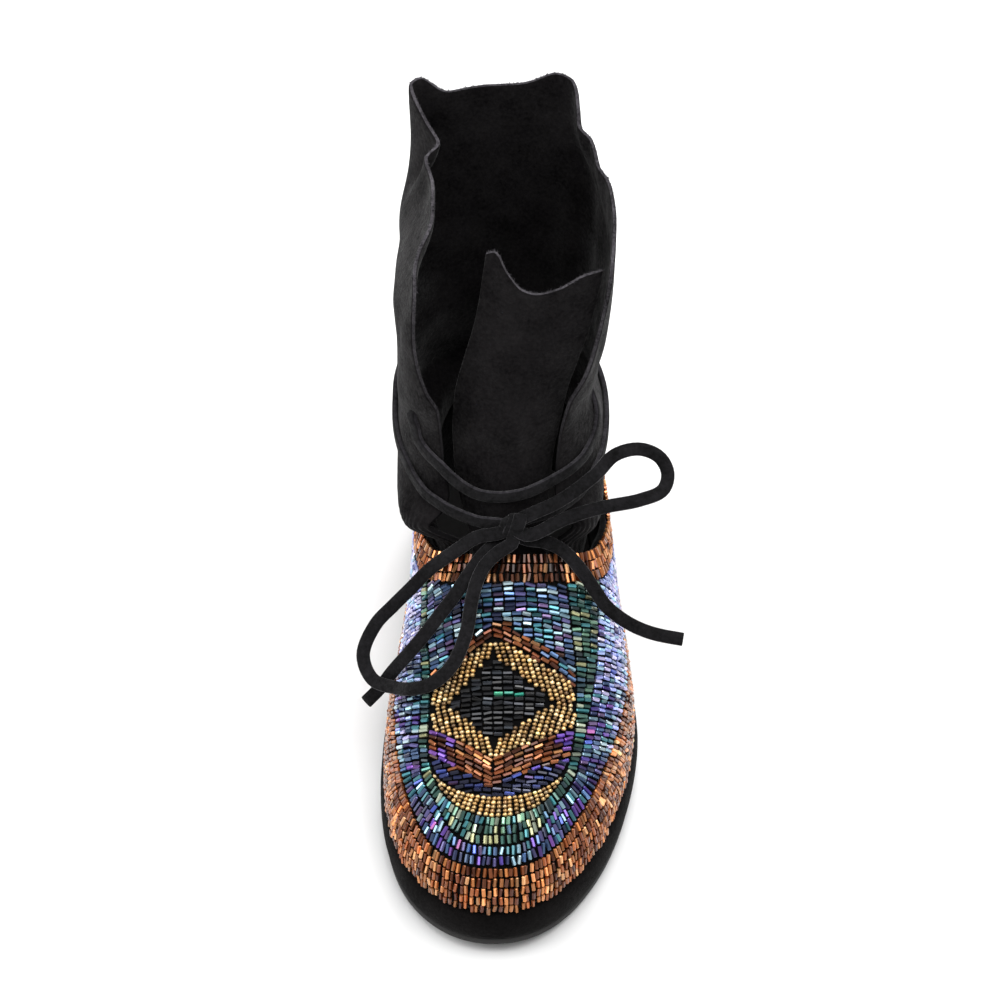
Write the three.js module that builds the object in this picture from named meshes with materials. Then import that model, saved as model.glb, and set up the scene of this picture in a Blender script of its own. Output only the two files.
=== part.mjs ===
// Left lace-up moccasin ankle boot: suede shaft and tongue, bead-embroidered moccasin upper, covered
// midsole and thin outsole, tied with a flat suede thong. Millimetres, +Z up, toe towards -Y, the
// outer side of the foot towards +X. The origin is on the floor, under the middle of the sole.
import * as THREE from "three";
import { mergeVertices } from "three/addons/utils/BufferGeometryUtils.js";

// Sole
const SOLE_LENGTH = 250;
const BALL_HALF_WIDTH = 48.7;
const OUTSOLE_THICKNESS = 3.5;
const OUTSOLE_INSET = 1;
const OUTSOLE_BEVEL = 0.8;
const MIDSOLE_TOP = 17;
const TOE_SPRING = 5;
const TOE_SPRING_REACH = 62;
const ARCH_RISE = 2.5;
const ARCH_START = 118;
const ARCH_LENGTH = 68;
const SEAM_GAP = 0.35;

// Round ends of the foot's plan and of the last's crown, as superellipses
const TOE_REACH = 95;
const TOE_POWER = 2.1;
const HEEL_REACH = 38;
const HEEL_POWER = 2.2;
const TOE_BOX_REACH = 22;
const TOE_BOX_POWER = 2.2;
const HEEL_BOX_REACH = 30;
const HEEL_BOX_POWER = 2.4;

// Upper and insole
const UPPER_INSET = 3.2;
const UPPER_WALL = 2;
const UPPER_COLUMNS = 48;
const SOLE_STATIONS = UPPER_COLUMNS / 2;
const UPPER_ROWS = 12;
const UPPER_ROW_POWER = 1.8;
const THROAT_Y = 4;
const RIM_SIDE_Y = 22;
const RIM_BACK_HEIGHT = 78.5;
const INSOLE_THICKNESS = 2.5;
const INSOLE_CLEARANCE = 1.4;
const INSOLE_BEVEL = 0.6;
const RAY_STEPS = 60;
const RAY_POWER = 3;

// Bead lanes that lie on the upper
const BEAD_GAP = 0.7;
const BEAD_HEIGHT = 1.7;
const LANE_GAP = 0.6;
const LANE_START = 0.8;
const LANE_LEAST = 1.5;
const THROAT_LANE = 12;
const APRON_HALF_WIDTH = 27.5;
const APRON_TIP = 27;
const APRON_MIDDLE = 66;
const APRON_POWER = 2.3;

// Shaft, tongue and lace
const SHAFT_WALL = 1.8;
const SHAFT_COLUMNS = 46;
const SHAFT_TUCK = 9;
const RIM_BLEND = 40;
const PUSH_REACH = 36;
const TONGUE_WALL = 1.8;
const TONGUE_COLUMNS = 8;
const TONGUE_ROWS = 14;
const LACE_WIDTH = 5.2;
const LACE_THICKNESS = 2.4;
const LACE_SIDES = 8;
const LACE_STEP = 9;
const LACE_SQUARENESS = 0.7;
const KNOT = { x: 1, y: 8.4, z: 91.8, halfWidth: 4.6, halfDepth: 3.4, halfHeight: 6.2 };

// Plan of the foot: distance from the toe tip, half width and the middle line's place across
const PLAN = [
  { fromToe: 0, halfWidth: 48.7, middle: -5.9 },
  { fromToe: 20, halfWidth: 48.7, middle: -5.6 },
  { fromToe: 45, halfWidth: 48.7, middle: -3.9 },
  { fromToe: 72, halfWidth: 48.7, middle: -1.5 },
  { fromToe: 95, halfWidth: 48.7, middle: 0.3 },
  { fromToe: 122, halfWidth: 46.4, middle: 1.3 },
  { fromToe: 150, halfWidth: 42.4, middle: 1.6 },
  { fromToe: 180, halfWidth: 39, middle: 0.6 },
  { fromToe: 212, halfWidth: 36.6, middle: -1 },
  { fromToe: 250, halfWidth: 36, middle: -1.6 },
];

// Midsole's side: share of its height and inset from the outline
const MIDSOLE_SIDE = [
  { up: 0, inset: 0.9 },
  { up: 0.25, inset: 0.1 },
  { up: 0.5, inset: 0 },
  { up: 0.78, inset: 0.7 },
  { up: 0.94, inset: 1.9 },
  { up: 1, inset: 3.4 },
];

// Last sections: crown height over the sole's edge and how square the section is
const LAST = [
  { fromToe: 0, crown: 22.5, square: 2.5 },
  { fromToe: 12, crown: 24.5, square: 2.5 },
  { fromToe: 25, crown: 27.5, square: 2.5 },
  { fromToe: 50, crown: 34.5, square: 2.45 },
  { fromToe: 75, crown: 42.5, square: 2.4 },
  { fromToe: 100, crown: 52.5, square: 2.3 },
  { fromToe: 130, crown: 63.5, square: 2.2 },
  { fromToe: 145, crown: 71, square: 2.2 },
  { fromToe: 165, crown: 110, square: 2.3 },
  { fromToe: 190, crown: 150, square: 2.4 },
  { fromToe: 250, crown: 170, square: 2.4 },
];

// Rim of the upper behind the throat, seen from the side
const RIM = [
  { y: 12, z: 74 },
  { y: 22, z: 69 },
  { y: 42, z: 67.5 },
  { y: 80, z: 71 },
  { y: 125, z: RIM_BACK_HEIGHT },
];

// Tops of the copper and blue bead lanes, as heights over the sole's edge
const LANES = [
  { fromToe: 0, copper: 17, blue: 22 },
  { fromToe: 15, copper: 18, blue: 23 },
  { fromToe: 35, copper: 19.8, blue: 26 },
  { fromToe: 50, copper: 21, blue: 28.5 },
  { fromToe: 66, copper: 21.8, blue: 32 },
  { fromToe: 85, copper: 22.4, blue: 37 },
  { fromToe: 105, copper: 22.3, blue: 41 },
  { fromToe: 125, copper: 21.7, blue: 42.5 },
  { fromToe: 150, copper: 21, blue: 45 },
  { fromToe: 250, copper: 20, blue: 50 },
];

// Shaft sections: height, front and back, inner and outer side of the leg, squareness of the corners
const SHAFT = [
  { z: 58, front: 9.4, back: 115.2, inner: -30.4, outer: 30.4, squareFront: 3.8, squareBack: 2.6 },
  { z: 70, front: 9.4, back: 115.4, inner: -31, outer: 31, squareFront: 3.8, squareBack: 2.6 },
  { z: 76, front: 10, back: 115.4, inner: -38.6, outer: 34.4, squareFront: 5, squareBack: 2.6 },
  { z: 81, front: 10.8, back: 115, inner: -43.2, outer: 36, squareFront: 6, squareBack: 2.5 },
  { z: 86, front: 12, back: 114.3, inner: -43.1, outer: 36.3, squareFront: 3.8, squareBack: 2.45 },
  { z: 90, front: 13, back: 113.8, inner: -42.8, outer: 36.4, squareFront: 2.75, squareBack: 2.4 },
  { z: 98, front: 15.5, back: 113.2, inner: -43, outer: 36.2, squareFront: 2.4, squareBack: 2.3 },
  { z: 110, front: 18, back: 113.2, inner: -43.8, outer: 35, squareFront: 2.4, squareBack: 2.4 },
  { z: 125, front: 20, back: 113.5, inner: -43.4, outer: 33.8, squareFront: 2.6, squareBack: 2.6 },
  { z: 137, front: 20, back: 114.2, inner: -43.4, outer: 34.4, squareFront: 2.85, squareBack: 2.85 },
  { z: 150, front: 20, back: 115, inner: -43.6, outer: 36.8, squareFront: 3.1, squareBack: 3.1 },
  { z: 180, front: 20, back: 117, inner: -44.2, outer: 39, squareFront: 3.6, squareBack: 3.6 },
  { z: 225, front: 24, back: 118.5, inner: -43, outer: 39.4, squareFront: 3.9, squareBack: 3.9 },
];

// Shares of the shaft's height at which it has its rows
const SHAFT_LEVELS = [0, 0.07, 0.11, 0.15, 0.2, 0.26, 0.36, 0.5, 0.64, 0.76, 0.86, 0.94, 1];

// Half angles of the front slit by height, from straight ahead to its outer and inner edge
const SLIT = [
  { z: 60, outer: 15.4, inner: 15.6 },
  { z: 78, outer: 17, inner: 16.8 },
  { z: 86, outer: 20.8, inner: 19.8 },
  { z: 94, outer: 25.3, inner: 24.3 },
  { z: 112, outer: 31, inner: 28 },
  { z: 136, outer: 37, inner: 28 },
  { z: 143, outer: 42, inner: 36 },
  { z: 156, outer: 51, inner: 43 },
  { z: 183, outer: 62, inner: 47 },
  { z: 200, outer: 64, inner: 50 },
];

// Collar, going round from the slit's outer edge: degrees from straight ahead, rim height, and how
// far the rim is pushed out of its section
const COLLAR = [
  { turn: 64, rim: 200, push: 1.5 },
  { turn: 77, rim: 203, push: 0.5 },
  { turn: 88, rim: 204, push: 0 },
  { turn: 97, rim: 205, push: -5.5 },
  { turn: 112, rim: 208, push: -7 },
  { turn: 126, rim: 211, push: -10 },
  { turn: 140, rim: 215, push: -7 },
  { turn: 157, rim: 221, push: 0 },
  { turn: 167, rim: 222, push: 1 },
  { turn: 180, rim: 217, push: 0 },
  { turn: 196, rim: 215.5, push: -1 },
  { turn: 214, rim: 221.5, push: 3 },
  { turn: 222, rim: 220.5, push: 3.5 },
  { turn: 232, rim: 212, push: -8 },
  { turn: 241, rim: 207, push: -15 },
  { turn: 250, rim: 202, push: -11 },
  { turn: 270, rim: 201, push: -14 },
  { turn: 290, rim: 199, push: -9 },
  { turn: 310, rim: 196, push: -3 },
];

// Tongue, up its front face from under the throat: middle line, half width and edge curl
const TONGUE = [
  { up: 0, x: 1, y: -8, z: 72.6, halfWidth: 14, curl: 3.4 },
  { up: 11, x: 0.5, y: 2, z: 75.8, halfWidth: 13.6, curl: 5 },
  { up: 20, x: -0.5, y: 9, z: 82.6, halfWidth: 14.6, curl: 8.3 },
  { up: 32, x: -2, y: 14.5, z: 93.6, halfWidth: 17, curl: 10.3 },
  { up: 46, x: -2.5, y: 18.8, z: 106.5, halfWidth: 19, curl: 10.2 },
  { up: 76, x: 0, y: 26, z: 135.5, halfWidth: 21.3, curl: 9.8 },
  { up: 94, x: 4.3, y: 30, z: 153, halfWidth: 21.8, curl: 7.8 },
  { up: 112, x: 9, y: 34, z: 171, halfWidth: 22, curl: 6 },
  { up: 142, x: 13.4, y: 39, z: 200.5, halfWidth: 22.4, curl: 4 },
];
// Top edge of the tongue: place across, from the inner to the outer side, and length up to it
const TONGUE_TOP = [
  { across: -1, up: 140.5 },
  { across: -0.86, up: 142 },
  { across: -0.62, up: 134 },
  { across: -0.3, up: 126.5 },
  { across: -0.05, up: 125 },
  { across: 0.3, up: 127 },
  { across: 0.7, up: 132 },
  { across: 1, up: 133 },
];

// Lace routes, chosen by hand, as the middle line of the thong
const ROUTE = {
  lace_front_crossing: [
    [-37.8, 31.4, 126], [-37.2, 30.6, 122], [-35.8, 28.8, 118.4], [-33.6, 26.2, 115.6], [-30.7, 23.4, 113],
    [-26.6, 20.4, 110.4], [-22.4, 18.2, 107.6], [-17.2, 16.4, 104], [-11.3, 15.2, 101.2], [-3.2, 14, 100.8],
    [5.7, 15, 102.2], [12.1, 17, 104], [18.4, 20, 105.9], [23.6, 24, 106.6], [28.6, 29.6, 107],
    [32, 35.2, 108.4], [34.3, 41.7, 111], [35.4, 47.1, 115],
  ],
  lace_ankle_turn: [
    [-4.8, 10.2, 91.4], [-12.2, 11, 91.8], [-22.8, 12.6, 95.5], [-27.7, 15.5, 96.4], [-32.2, 20, 97],
    [-35.4, 24.5, 97.8], [-37.8, 30.1, 98.4], [-40.1, 34.6, 99.4], [-42.8, 42, 100.4], [-45.1, 53.2, 101.6],
    [-45.8, 64.9, 103], [-45.1, 78, 104.4], [-41.2, 92.7, 105.4], [-33.8, 104.1, 105.4], [-23.8, 111.4, 105],
    [-11.2, 115.2, 104.2], [3.9, 115.2, 103.4], [15.7, 111.7, 102.4], [25.2, 104.8, 101.2], [33.1, 93.5, 100],
    [37.4, 79.9, 98.8], [38.6, 61.3, 97.8], [36.6, 43.5, 97], [32.7, 31.5, 96.2], [28.8, 21.9, 96.2],
    [23, 16.1, 96], [17.2, 12.8, 95.5], [6.9, 10.6, 93.4],
  ],
  bow_loop_left: [
    [-4.4, 6.2, 90], [-12, 6.6, 87.9], [-20.7, 5, 81.6], [-30.2, 3.6, 73.4], [-37.7, 1, 65.4],
    [-44.5, -3, 59.9], [-50.9, -8, 55.3], [-55.6, -17, 48.4], [-52, -27.6, 46], [-43.4, -35.4, 49.6],
    [-35.8, -43, 57.2], [-30.2, -44.8, 61.2], [-25.2, -42.9, 64], [-20.7, -38.9, 67.5], [-16.2, -28.2, 72.8],
    [-14.3, -16.7, 77.3], [-12.4, -10.1, 80.8], [-9.4, -4.4, 83.6], [-4, 0.4, 86.2], [1, 3, 88.4],
  ],
  bow_loop_right: [
    [5.4, 8.2, 96.6], [18.9, 12.6, 101], [32.1, 22, 105.3], [39.7, 29.5, 108.5], [49.1, 33, 108.2],
    [56.6, 31.4, 105.5], [59.7, 27, 101.4], [57.8, 20.9, 98.4], [49.1, 16.6, 97.4], [34, 13.2, 96.6],
    [20.8, 9.2, 94.8], [7, 3.9, 91.4],
  ],
  lace_end_left: [
    [-4.2, 6.8, 84.9], [-8.2, 2.7, 84.8], [-11.6, -1, 83.1], [-15.6, -5.6, 79.8], [-20.7, -12, 75.4],
    [-26.4, -18, 70.8], [-32, -22.9, 65.4], [-37.9, -26.6, 59.2], [-43.9, -27, 50], [-49.4, -28.6, 41.6],
    [-54.3, -29.5, 35.4],
  ],
  lace_end_right: [
    [5.2, 6.4, 87.2], [13.2, 5.6, 86], [18.9, 4.4, 83.8], [23.8, 2, 80], [28.3, -1.4, 75.4],
    [32.1, -4.8, 70.8], [36.2, -8.4, 66], [40.8, -9.4, 61.4], [45.8, -10.2, 57.6], [51, -11.2, 55.2],
    [56.6, -12, 53.6], [65.7, -12.8, 52],
  ],
};

// A smooth line through one column of a table, whose cubic pieces never overshoot the rows.
function line(rows, place, column) {
  const at = rows.map((row) => row[place]);
  const value = rows.map((row) => row[column]);
  const width = at.slice(1).map((end, i) => end - at[i]);
  const rise = width.map((step, i) => (value[i + 1] - value[i]) / step);
  const slope = value.map((_, i) => {
    if (i === 0) return rise[0];
    if (i === rise.length) return rise[i - 1];
    const product = rise[i - 1] * rise[i];
    return product > 0 ? (2 * product) / (rise[i - 1] + rise[i]) : 0;
  });
  return (wanted) => {
    const place = THREE.MathUtils.clamp(wanted, at[0], at[at.length - 1]);
    const i = Math.max(0, at.slice(0, -1).findLastIndex((start) => start <= place));
    const t = (place - at[i]) / width[i];
    const bend = t * (1 - t) * width[i];
    const ease = t * t * (3 - 2 * t);
    return (1 - ease) * value[i] + ease * value[i + 1] + bend * ((1 - t) * slope[i] - t * slope[i + 1]);
  };
}

const halfWidthAt = line(PLAN, "fromToe", "halfWidth");
const middleAt = line(PLAN, "fromToe", "middle");
const crownAt = line(LAST, "fromToe", "crown");
const squareAt = line(LAST, "fromToe", "square");
const copperAt = line(LANES, "fromToe", "copper");
const blueAt = line(LANES, "fromToe", "blue");

const UPPER_HALF_LENGTH = SOLE_LENGTH / 2 - UPPER_INSET;
const UPPER_WIDTH_SHARE = 1 - UPPER_INSET / BALL_HALF_WIDTH;

// A superellipse's height over a base that runs from 0 at its end to 1 at its middle.
function arch(share, power) {
  return (1 - (1 - THREE.MathUtils.clamp(share, 0, 1)) ** power) ** (1 / power);
}

// Half width of the sole's outline at a distance from the toe tip, with its round ends.
function soleHalfWidth(fromToe) {
  const toe = arch(fromToe / TOE_REACH, TOE_POWER);
  const heel = arch((SOLE_LENGTH - fromToe) / HEEL_REACH, HEEL_POWER);
  return halfWidthAt(fromToe) * toe * heel;
}

// How far the underside is off the floor: toe spring in front and a low arch at the waist.
function floorLift(fromToe) {
  const toe = Math.max(0, 1 - fromToe / TOE_SPRING_REACH);
  const waist = THREE.MathUtils.clamp((fromToe - ARCH_START) / ARCH_LENGTH, 0, 1);
  return TOE_SPRING * toe ** 2 + ARCH_RISE * Math.sin(Math.PI * waist) ** 2;
}

// Height of the upper's lower edge.
function edgeHeight(fromToe) {
  return floorLift(fromToe) + MIDSOLE_TOP + SEAM_GAP;
}

// A point of the foot's outline: turn runs from the toe (0) by the outer side to the heel (pi) and
// back by the inner side, and inset is how far it lies inside the sole's edge.
function planPoint(turn, inset) {
  const fromToe = (SOLE_LENGTH * (1 - Math.cos(turn))) / 2;
  const half = soleHalfWidth(fromToe) * (1 - inset / BALL_HALF_WIDTH);
  const x = middleAt(fromToe) + Math.sign(Math.sin(turn)) * half;
  const y = -(SOLE_LENGTH / 2 - inset) * Math.cos(turn);
  return { x, y, fromToe };
}

// The last's section at a place along the upper.
function lastSection(y) {
  const fromToe = (SOLE_LENGTH / 2) * (1 + y / UPPER_HALF_LENGTH);
  const toe = arch(fromToe / TOE_BOX_REACH, TOE_BOX_POWER);
  const heel = arch((SOLE_LENGTH - fromToe) / HEEL_BOX_REACH, HEEL_BOX_POWER);
  return {
    fromToe,
    middle: middleAt(fromToe),
    half: soleHalfWidth(fromToe) * UPPER_WIDTH_SHARE,
    base: edgeHeight(fromToe),
    crown: crownAt(fromToe) * toe * heel,
    square: squareAt(fromToe),
  };
}

// Height of the upper's outside over a point of its plan: a superellipse section on its base.
function domeHeight(x, y) {
  const { middle, half, base, crown, square } = lastSection(y);
  const across = half > 0 ? Math.min(Math.abs(x - middle) / half, 1) : 0;
  return base + crown * (1 - across ** square) ** (1 / square);
}

const throat = lastSection(THROAT_Y);
const rimHeightAt = line([{ y: THROAT_Y, z: throat.base + throat.crown }, ...RIM], "y", "z");
const RIM_LOWEST = Math.min(...RIM.map(({ z }) => z));
const backLift = (RIM_BACK_HEIGHT - MIDSOLE_TOP - SEAM_GAP) / crownAt(SOLE_LENGTH);
const backShare = 1 - (1 - backLift ** HEEL_BOX_POWER) ** (1 / HEEL_BOX_POWER);
const RIM_BACK_Y = UPPER_HALF_LENGTH * (1 - (2 * HEEL_BOX_REACH * backShare) / SOLE_LENGTH);

// The rim's point over an outline point: the throat's curve in front, and level with it behind.
function rimPoint(foot, side) {
  const front = (foot.y + UPPER_HALF_LENGTH) / (RIM_SIDE_Y + UPPER_HALF_LENGTH);
  const behind = (foot.y - RIM_SIDE_Y) / (UPPER_HALF_LENGTH - RIM_SIDE_Y);
  const y = front < 1
    ? THREE.MathUtils.lerp(THROAT_Y, RIM_SIDE_Y, front)
    : THREE.MathUtils.lerp(RIM_SIDE_Y, RIM_BACK_Y, behind);
  const { middle, half, base, crown, square } = lastSection(y);
  const lift = Math.min((rimHeightAt(y) - base) / crown, 1);
  const x = middle + side * half * (1 - lift ** square) ** (1 / square);
  return { x, y };
}

const rays = new Map();

// A line up the upper's outside, over the straight plan line from the sole's edge to the rim, with
// the length up to each of its points.
function rayAt(turn) {
  if (rays.has(turn)) return rays.get(turn);
  const foot = planPoint(turn, UPPER_INSET);
  const rim = rimPoint(foot, Math.sign(Math.sin(turn)));
  const points = [new THREE.Vector3(foot.x, foot.y, edgeHeight(foot.fromToe))];
  const lengths = [0];
  for (let step = 1; step <= RAY_STEPS; step += 1) {
    const share = (step / RAY_STEPS) ** RAY_POWER;
    const x = THREE.MathUtils.lerp(foot.x, rim.x, share);
    const y = THREE.MathUtils.lerp(foot.y, rim.y, share);
    points.push(new THREE.Vector3(x, y, domeHeight(x, y)));
    lengths.push(lengths[step - 1] + points[step].distanceTo(points[step - 1]));
  }
  const ray = { points, lengths, length: lengths[RAY_STEPS] };
  rays.set(turn, ray);
  return ray;
}

// The upper's outside at a turn and a length up from the sole's edge.
function upperPoint(turn, up) {
  const { points, lengths, length } = rayAt(turn);
  const wanted = THREE.MathUtils.clamp(up, 0, length);
  const i = Math.min(RAY_STEPS - 1, lengths.findLastIndex((start) => start <= wanted));
  return points[i].clone().lerp(points[i + 1], (wanted - lengths[i]) / (lengths[i + 1] - lengths[i]));
}

// How far up a ray a test first turns positive, or the whole ray where it never does.
function reach(turn, test) {
  let low = 0;
  let high = rayAt(turn).length;
  if (test(upperPoint(turn, high)) < 0) return high;
  while (high - low > 0.01) {
    const middle = (low + high) / 2;
    if (test(upperPoint(turn, middle)) < 0) low = middle;
    else high = middle;
  }
  return high;
}

// Tops of the bead lanes along a ray: two are heights over the sole's edge, and the apron's edge is
// a superellipse in plan with straight sides behind its middle.
function laneTops(turn) {
  const clear = rayAt(turn).length - THROAT_LANE - LANE_GAP;
  const overEdge = (point, heightAt) => {
    const { fromToe, base } = lastSection(point.y);
    return point.z - base - heightAt(fromToe);
  };
  const inApron = (point) => {
    const { fromToe, middle } = lastSection(point.y);
    const across = Math.abs(point.x - middle) / APRON_HALF_WIDTH;
    const ahead = Math.max(0, APRON_MIDDLE - fromToe) / (APRON_MIDDLE - APRON_TIP);
    return 1 - across ** APRON_POWER - ahead ** APRON_POWER;
  };
  return {
    copper: reach(turn, (point) => overEdge(point, copperAt)),
    blue: Math.min(clear, reach(turn, (point) => overEdge(point, blueAt))),
    green: Math.min(clear, reach(turn, inApron)),
    clear,
  };
}

// A closed mesh from quads; a quad whose corners meet gives one triangle or none.
function closedGeometry(quads) {
  const corners = quads.flatMap(([a, b, c, d]) => [a, b, c, a, c, d]);
  const loose = new THREE.BufferGeometry().setFromPoints(corners);
  const geometry = mergeVertices(loose);
  const index = Array.from(geometry.getIndex().array);
  const kept = [];
  for (let i = 0; i < index.length; i += 3) {
    const [a, b, c] = index.slice(i, i + 3);
    if (a !== b && b !== c && c !== a) kept.push(a, b, c);
  }
  geometry.setIndex(kept);
  geometry.computeVertexNormals();
  return geometry;
}

// A wall between two grids of the same columns and rows, which may close on itself round a form.
function wallGeometry(outer, inner, closed) {
  const quads = [];
  const columns = outer.length;
  const top = outer[0].length - 1;
  for (let i = 0; i < (closed ? columns : columns - 1); i += 1) {
    const k = (i + 1) % columns;
    for (let j = 0; j < top; j += 1) {
      quads.push([outer[i][j], outer[k][j], outer[k][j + 1], outer[i][j + 1]]);
      quads.push([inner[i][j], inner[i][j + 1], inner[k][j + 1], inner[k][j]]);
    }
    quads.push([inner[i][0], inner[k][0], outer[k][0], outer[i][0]]);
    quads.push([outer[i][top], outer[k][top], inner[k][top], inner[i][top]]);
  }
  for (let j = 0; j < top && !closed; j += 1) {
    const end = columns - 1;
    quads.push([outer[0][j], outer[0][j + 1], inner[0][j + 1], inner[0][j]]);
    quads.push([inner[end][j], inner[end][j + 1], outer[end][j + 1], outer[end][j]]);
  }
  return closedGeometry(quads);
}

// A grid moved along its own normals.
function offsetGrid(grid, distance, closed) {
  const columns = grid.length;
  const rows = grid[0].length;
  const column = (i) => grid[closed ? (i + columns) % columns : THREE.MathUtils.clamp(i, 0, columns - 1)];
  return grid.map((points, i) => points.map((point, j) => {
    const along = column(i + 1)[j].clone().sub(column(i - 1)[j]);
    const up = points[Math.min(j + 1, rows - 1)].clone().sub(points[Math.max(j - 1, 0)]);
    return point.clone().addScaledVector(along.cross(up).normalize(), distance);
  }));
}

// A solid lofted from toe to heel through rings, each given as pairs of height and inset up one side.
function lengthwiseGeometry(profileAt) {
  const rings = [];
  for (let station = 0; station <= SOLE_STATIONS; station += 1) {
    const turn = (Math.PI * station) / SOLE_STATIONS;
    const side = (sign) => profileAt(planPoint(turn, 0).fromToe).map(({ z, inset }) => {
      const { x, y } = planPoint(sign * turn, inset);
      return new THREE.Vector3(x, y, z);
    });
    rings.push([...side(1), ...side(-1).reverse()]);
  }
  const quads = [];
  const count = rings[0].length;
  for (let i = 0; i < SOLE_STATIONS; i += 1) {
    for (let j = 0; j < count; j += 1) {
      const k = (j + 1) % count;
      quads.push([rings[i][j], rings[i + 1][j], rings[i + 1][k], rings[i][k]]);
    }
  }
  return closedGeometry(quads);
}

function outsoleGeometry() {
  return lengthwiseGeometry((fromToe) => {
    const lift = floorLift(fromToe);
    return [
      { z: lift, inset: OUTSOLE_INSET + OUTSOLE_BEVEL },
      { z: lift + OUTSOLE_THICKNESS, inset: OUTSOLE_INSET },
    ];
  });
}

// The midsole is wrapped in suede: its side bulges and rolls over into the feather line.
function midsoleGeometry() {
  const height = MIDSOLE_TOP - OUTSOLE_THICKNESS - SEAM_GAP;
  return lengthwiseGeometry((fromToe) => {
    const bottom = floorLift(fromToe) + OUTSOLE_THICKNESS + SEAM_GAP;
    return MIDSOLE_SIDE.map(({ up, inset }) => ({ z: bottom + up * height, inset }));
  });
}

function insoleGeometry() {
  const inset = UPPER_INSET + UPPER_WALL + INSOLE_CLEARANCE;
  return lengthwiseGeometry((fromToe) => {
    const bottom = edgeHeight(fromToe);
    return [
      { z: bottom, inset },
      { z: bottom + INSOLE_THICKNESS, inset: inset + INSOLE_BEVEL },
    ];
  });
}

// Turns at which the upper has its columns, all round or within a reach to both sides of the toe.
function columnTurns(reachTurn) {
  const step = (2 * Math.PI) / UPPER_COLUMNS;
  if (!reachTurn) return Array.from({ length: UPPER_COLUMNS }, (_, i) => i * step);
  const count = Math.floor(reachTurn / step);
  return Array.from({ length: 2 * count + 1 }, (_, i) => (i - count) * step);
}

function upperGeometry() {
  const outer = columnTurns().map((turn) => {
    const { length } = rayAt(turn);
    return Array.from({ length: UPPER_ROWS + 1 }, (_, row) =>
      upperPoint(turn, length * (row / UPPER_ROWS) ** UPPER_ROW_POWER));
  });
  const inner = offsetGrid(outer, -UPPER_WALL, true);
  inner.forEach((points, i) => {
    points[0].z = outer[i][0].z;
  });
  return wallGeometry(outer, inner, true);
}

// A bead lane between two lengths up the rays; it lies just off the upper.
function laneGeometry(turns, closed, rows, spanAt) {
  const base = turns.map((turn) => {
    const [low, high] = spanAt(turn);
    return Array.from({ length: rows + 1 }, (_, row) =>
      upperPoint(turn, THREE.MathUtils.lerp(low, high, row / rows)));
  });
  const inner = offsetGrid(base, BEAD_GAP, closed);
  const outer = offsetGrid(base, BEAD_GAP + BEAD_HEIGHT, closed);
  return wallGeometry(outer, inner, closed);
}

// The turn from the toe up to which a lane is wide enough to be made.
function laneReach(widthAt) {
  const step = Math.PI / 720;
  let turn = 0;
  while (turn < Math.PI && widthAt(turn) > LANE_LEAST && widthAt(-turn) > LANE_LEAST) turn += step;
  return turn - step;
}

function greenSpan(turn) {
  const { blue, green } = laneTops(turn);
  return [blue + LANE_GAP, green - LANE_GAP];
}

function apronSpan(turn) {
  const { green, clear } = laneTops(turn);
  return [green + LANE_GAP, clear];
}

const shaftLine = Object.fromEntries(
  Object.keys(SHAFT[0]).slice(1).map((column) => [column, line(SHAFT, "z", column)]),
);
const slitOuterAt = line(SLIT, "z", "outer");
const slitInnerAt = line(SLIT, "z", "inner");
const collarRimAt = line(COLLAR, "turn", "rim");
const collarPushAt = line(COLLAR, "turn", "push");

// A power of a sine or cosine that keeps its sign.
function signedPower(value, power) {
  return Math.sign(value) * Math.abs(value) ** power;
}

// The shaft's outside at a share of the way round from the slit's outer edge and a share of the way
// up: a superellipse section, pushed in or out near the collar. Near its foot the sections rise and
// fall with the upper's rim.
function shaftPoint(around, up) {
  const collarTurn = THREE.MathUtils.lerp(COLLAR[0].turn, COLLAR[COLLAR.length - 1].turn, around);
  const collar = collarRimAt(collarTurn);
  const rim = rimHeightAt(shaftPlace(around, SHAFT[0].z, 0).y);
  const z = THREE.MathUtils.lerp(rim - SHAFT_TUCK, collar, up);
  const lift = (rim - RIM_LOWEST) * (1 - THREE.MathUtils.smoothstep(z, rim, rim + RIM_BLEND));
  const { x, y, angle } = shaftPlace(around, z, lift);
  const push = collarPushAt(collarTurn) * THREE.MathUtils.smoothstep(z, collar - PUSH_REACH, collar);
  return new THREE.Vector3(x + push * Math.sin(angle), y - push * Math.cos(angle), z);
}

function shaftPlace(around, z, lift) {
  const degrees = THREE.MathUtils.lerp(slitOuterAt(z), 360 - slitInnerAt(z), around);
  const angle = THREE.MathUtils.degToRad(degrees);
  const [front, back, inner, outer, ahead, behind] = Object.values(shaftLine).map((at) => at(z - lift));
  const square = Math.cos(angle) > 0 ? ahead : behind;
  const x = (inner + outer) / 2 + ((outer - inner) / 2) * signedPower(Math.sin(angle), 2 / square);
  const y = (front + back) / 2 - ((back - front) / 2) * signedPower(Math.cos(angle), 2 / square);
  return { x, y, angle };
}

function shaftGeometry() {
  const outer = Array.from({ length: SHAFT_COLUMNS + 1 }, (_, i) =>
    SHAFT_LEVELS.map((level) => shaftPoint(i / SHAFT_COLUMNS, level)));
  return wallGeometry(outer, offsetGrid(outer, -SHAFT_WALL, false), false);
}

const tongueLine = Object.fromEntries(
  ["x", "y", "z", "halfWidth", "curl"].map((column) => [column, line(TONGUE, "up", column)]),
);
const tongueTopAt = line(TONGUE_TOP, "across", "up");

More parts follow.
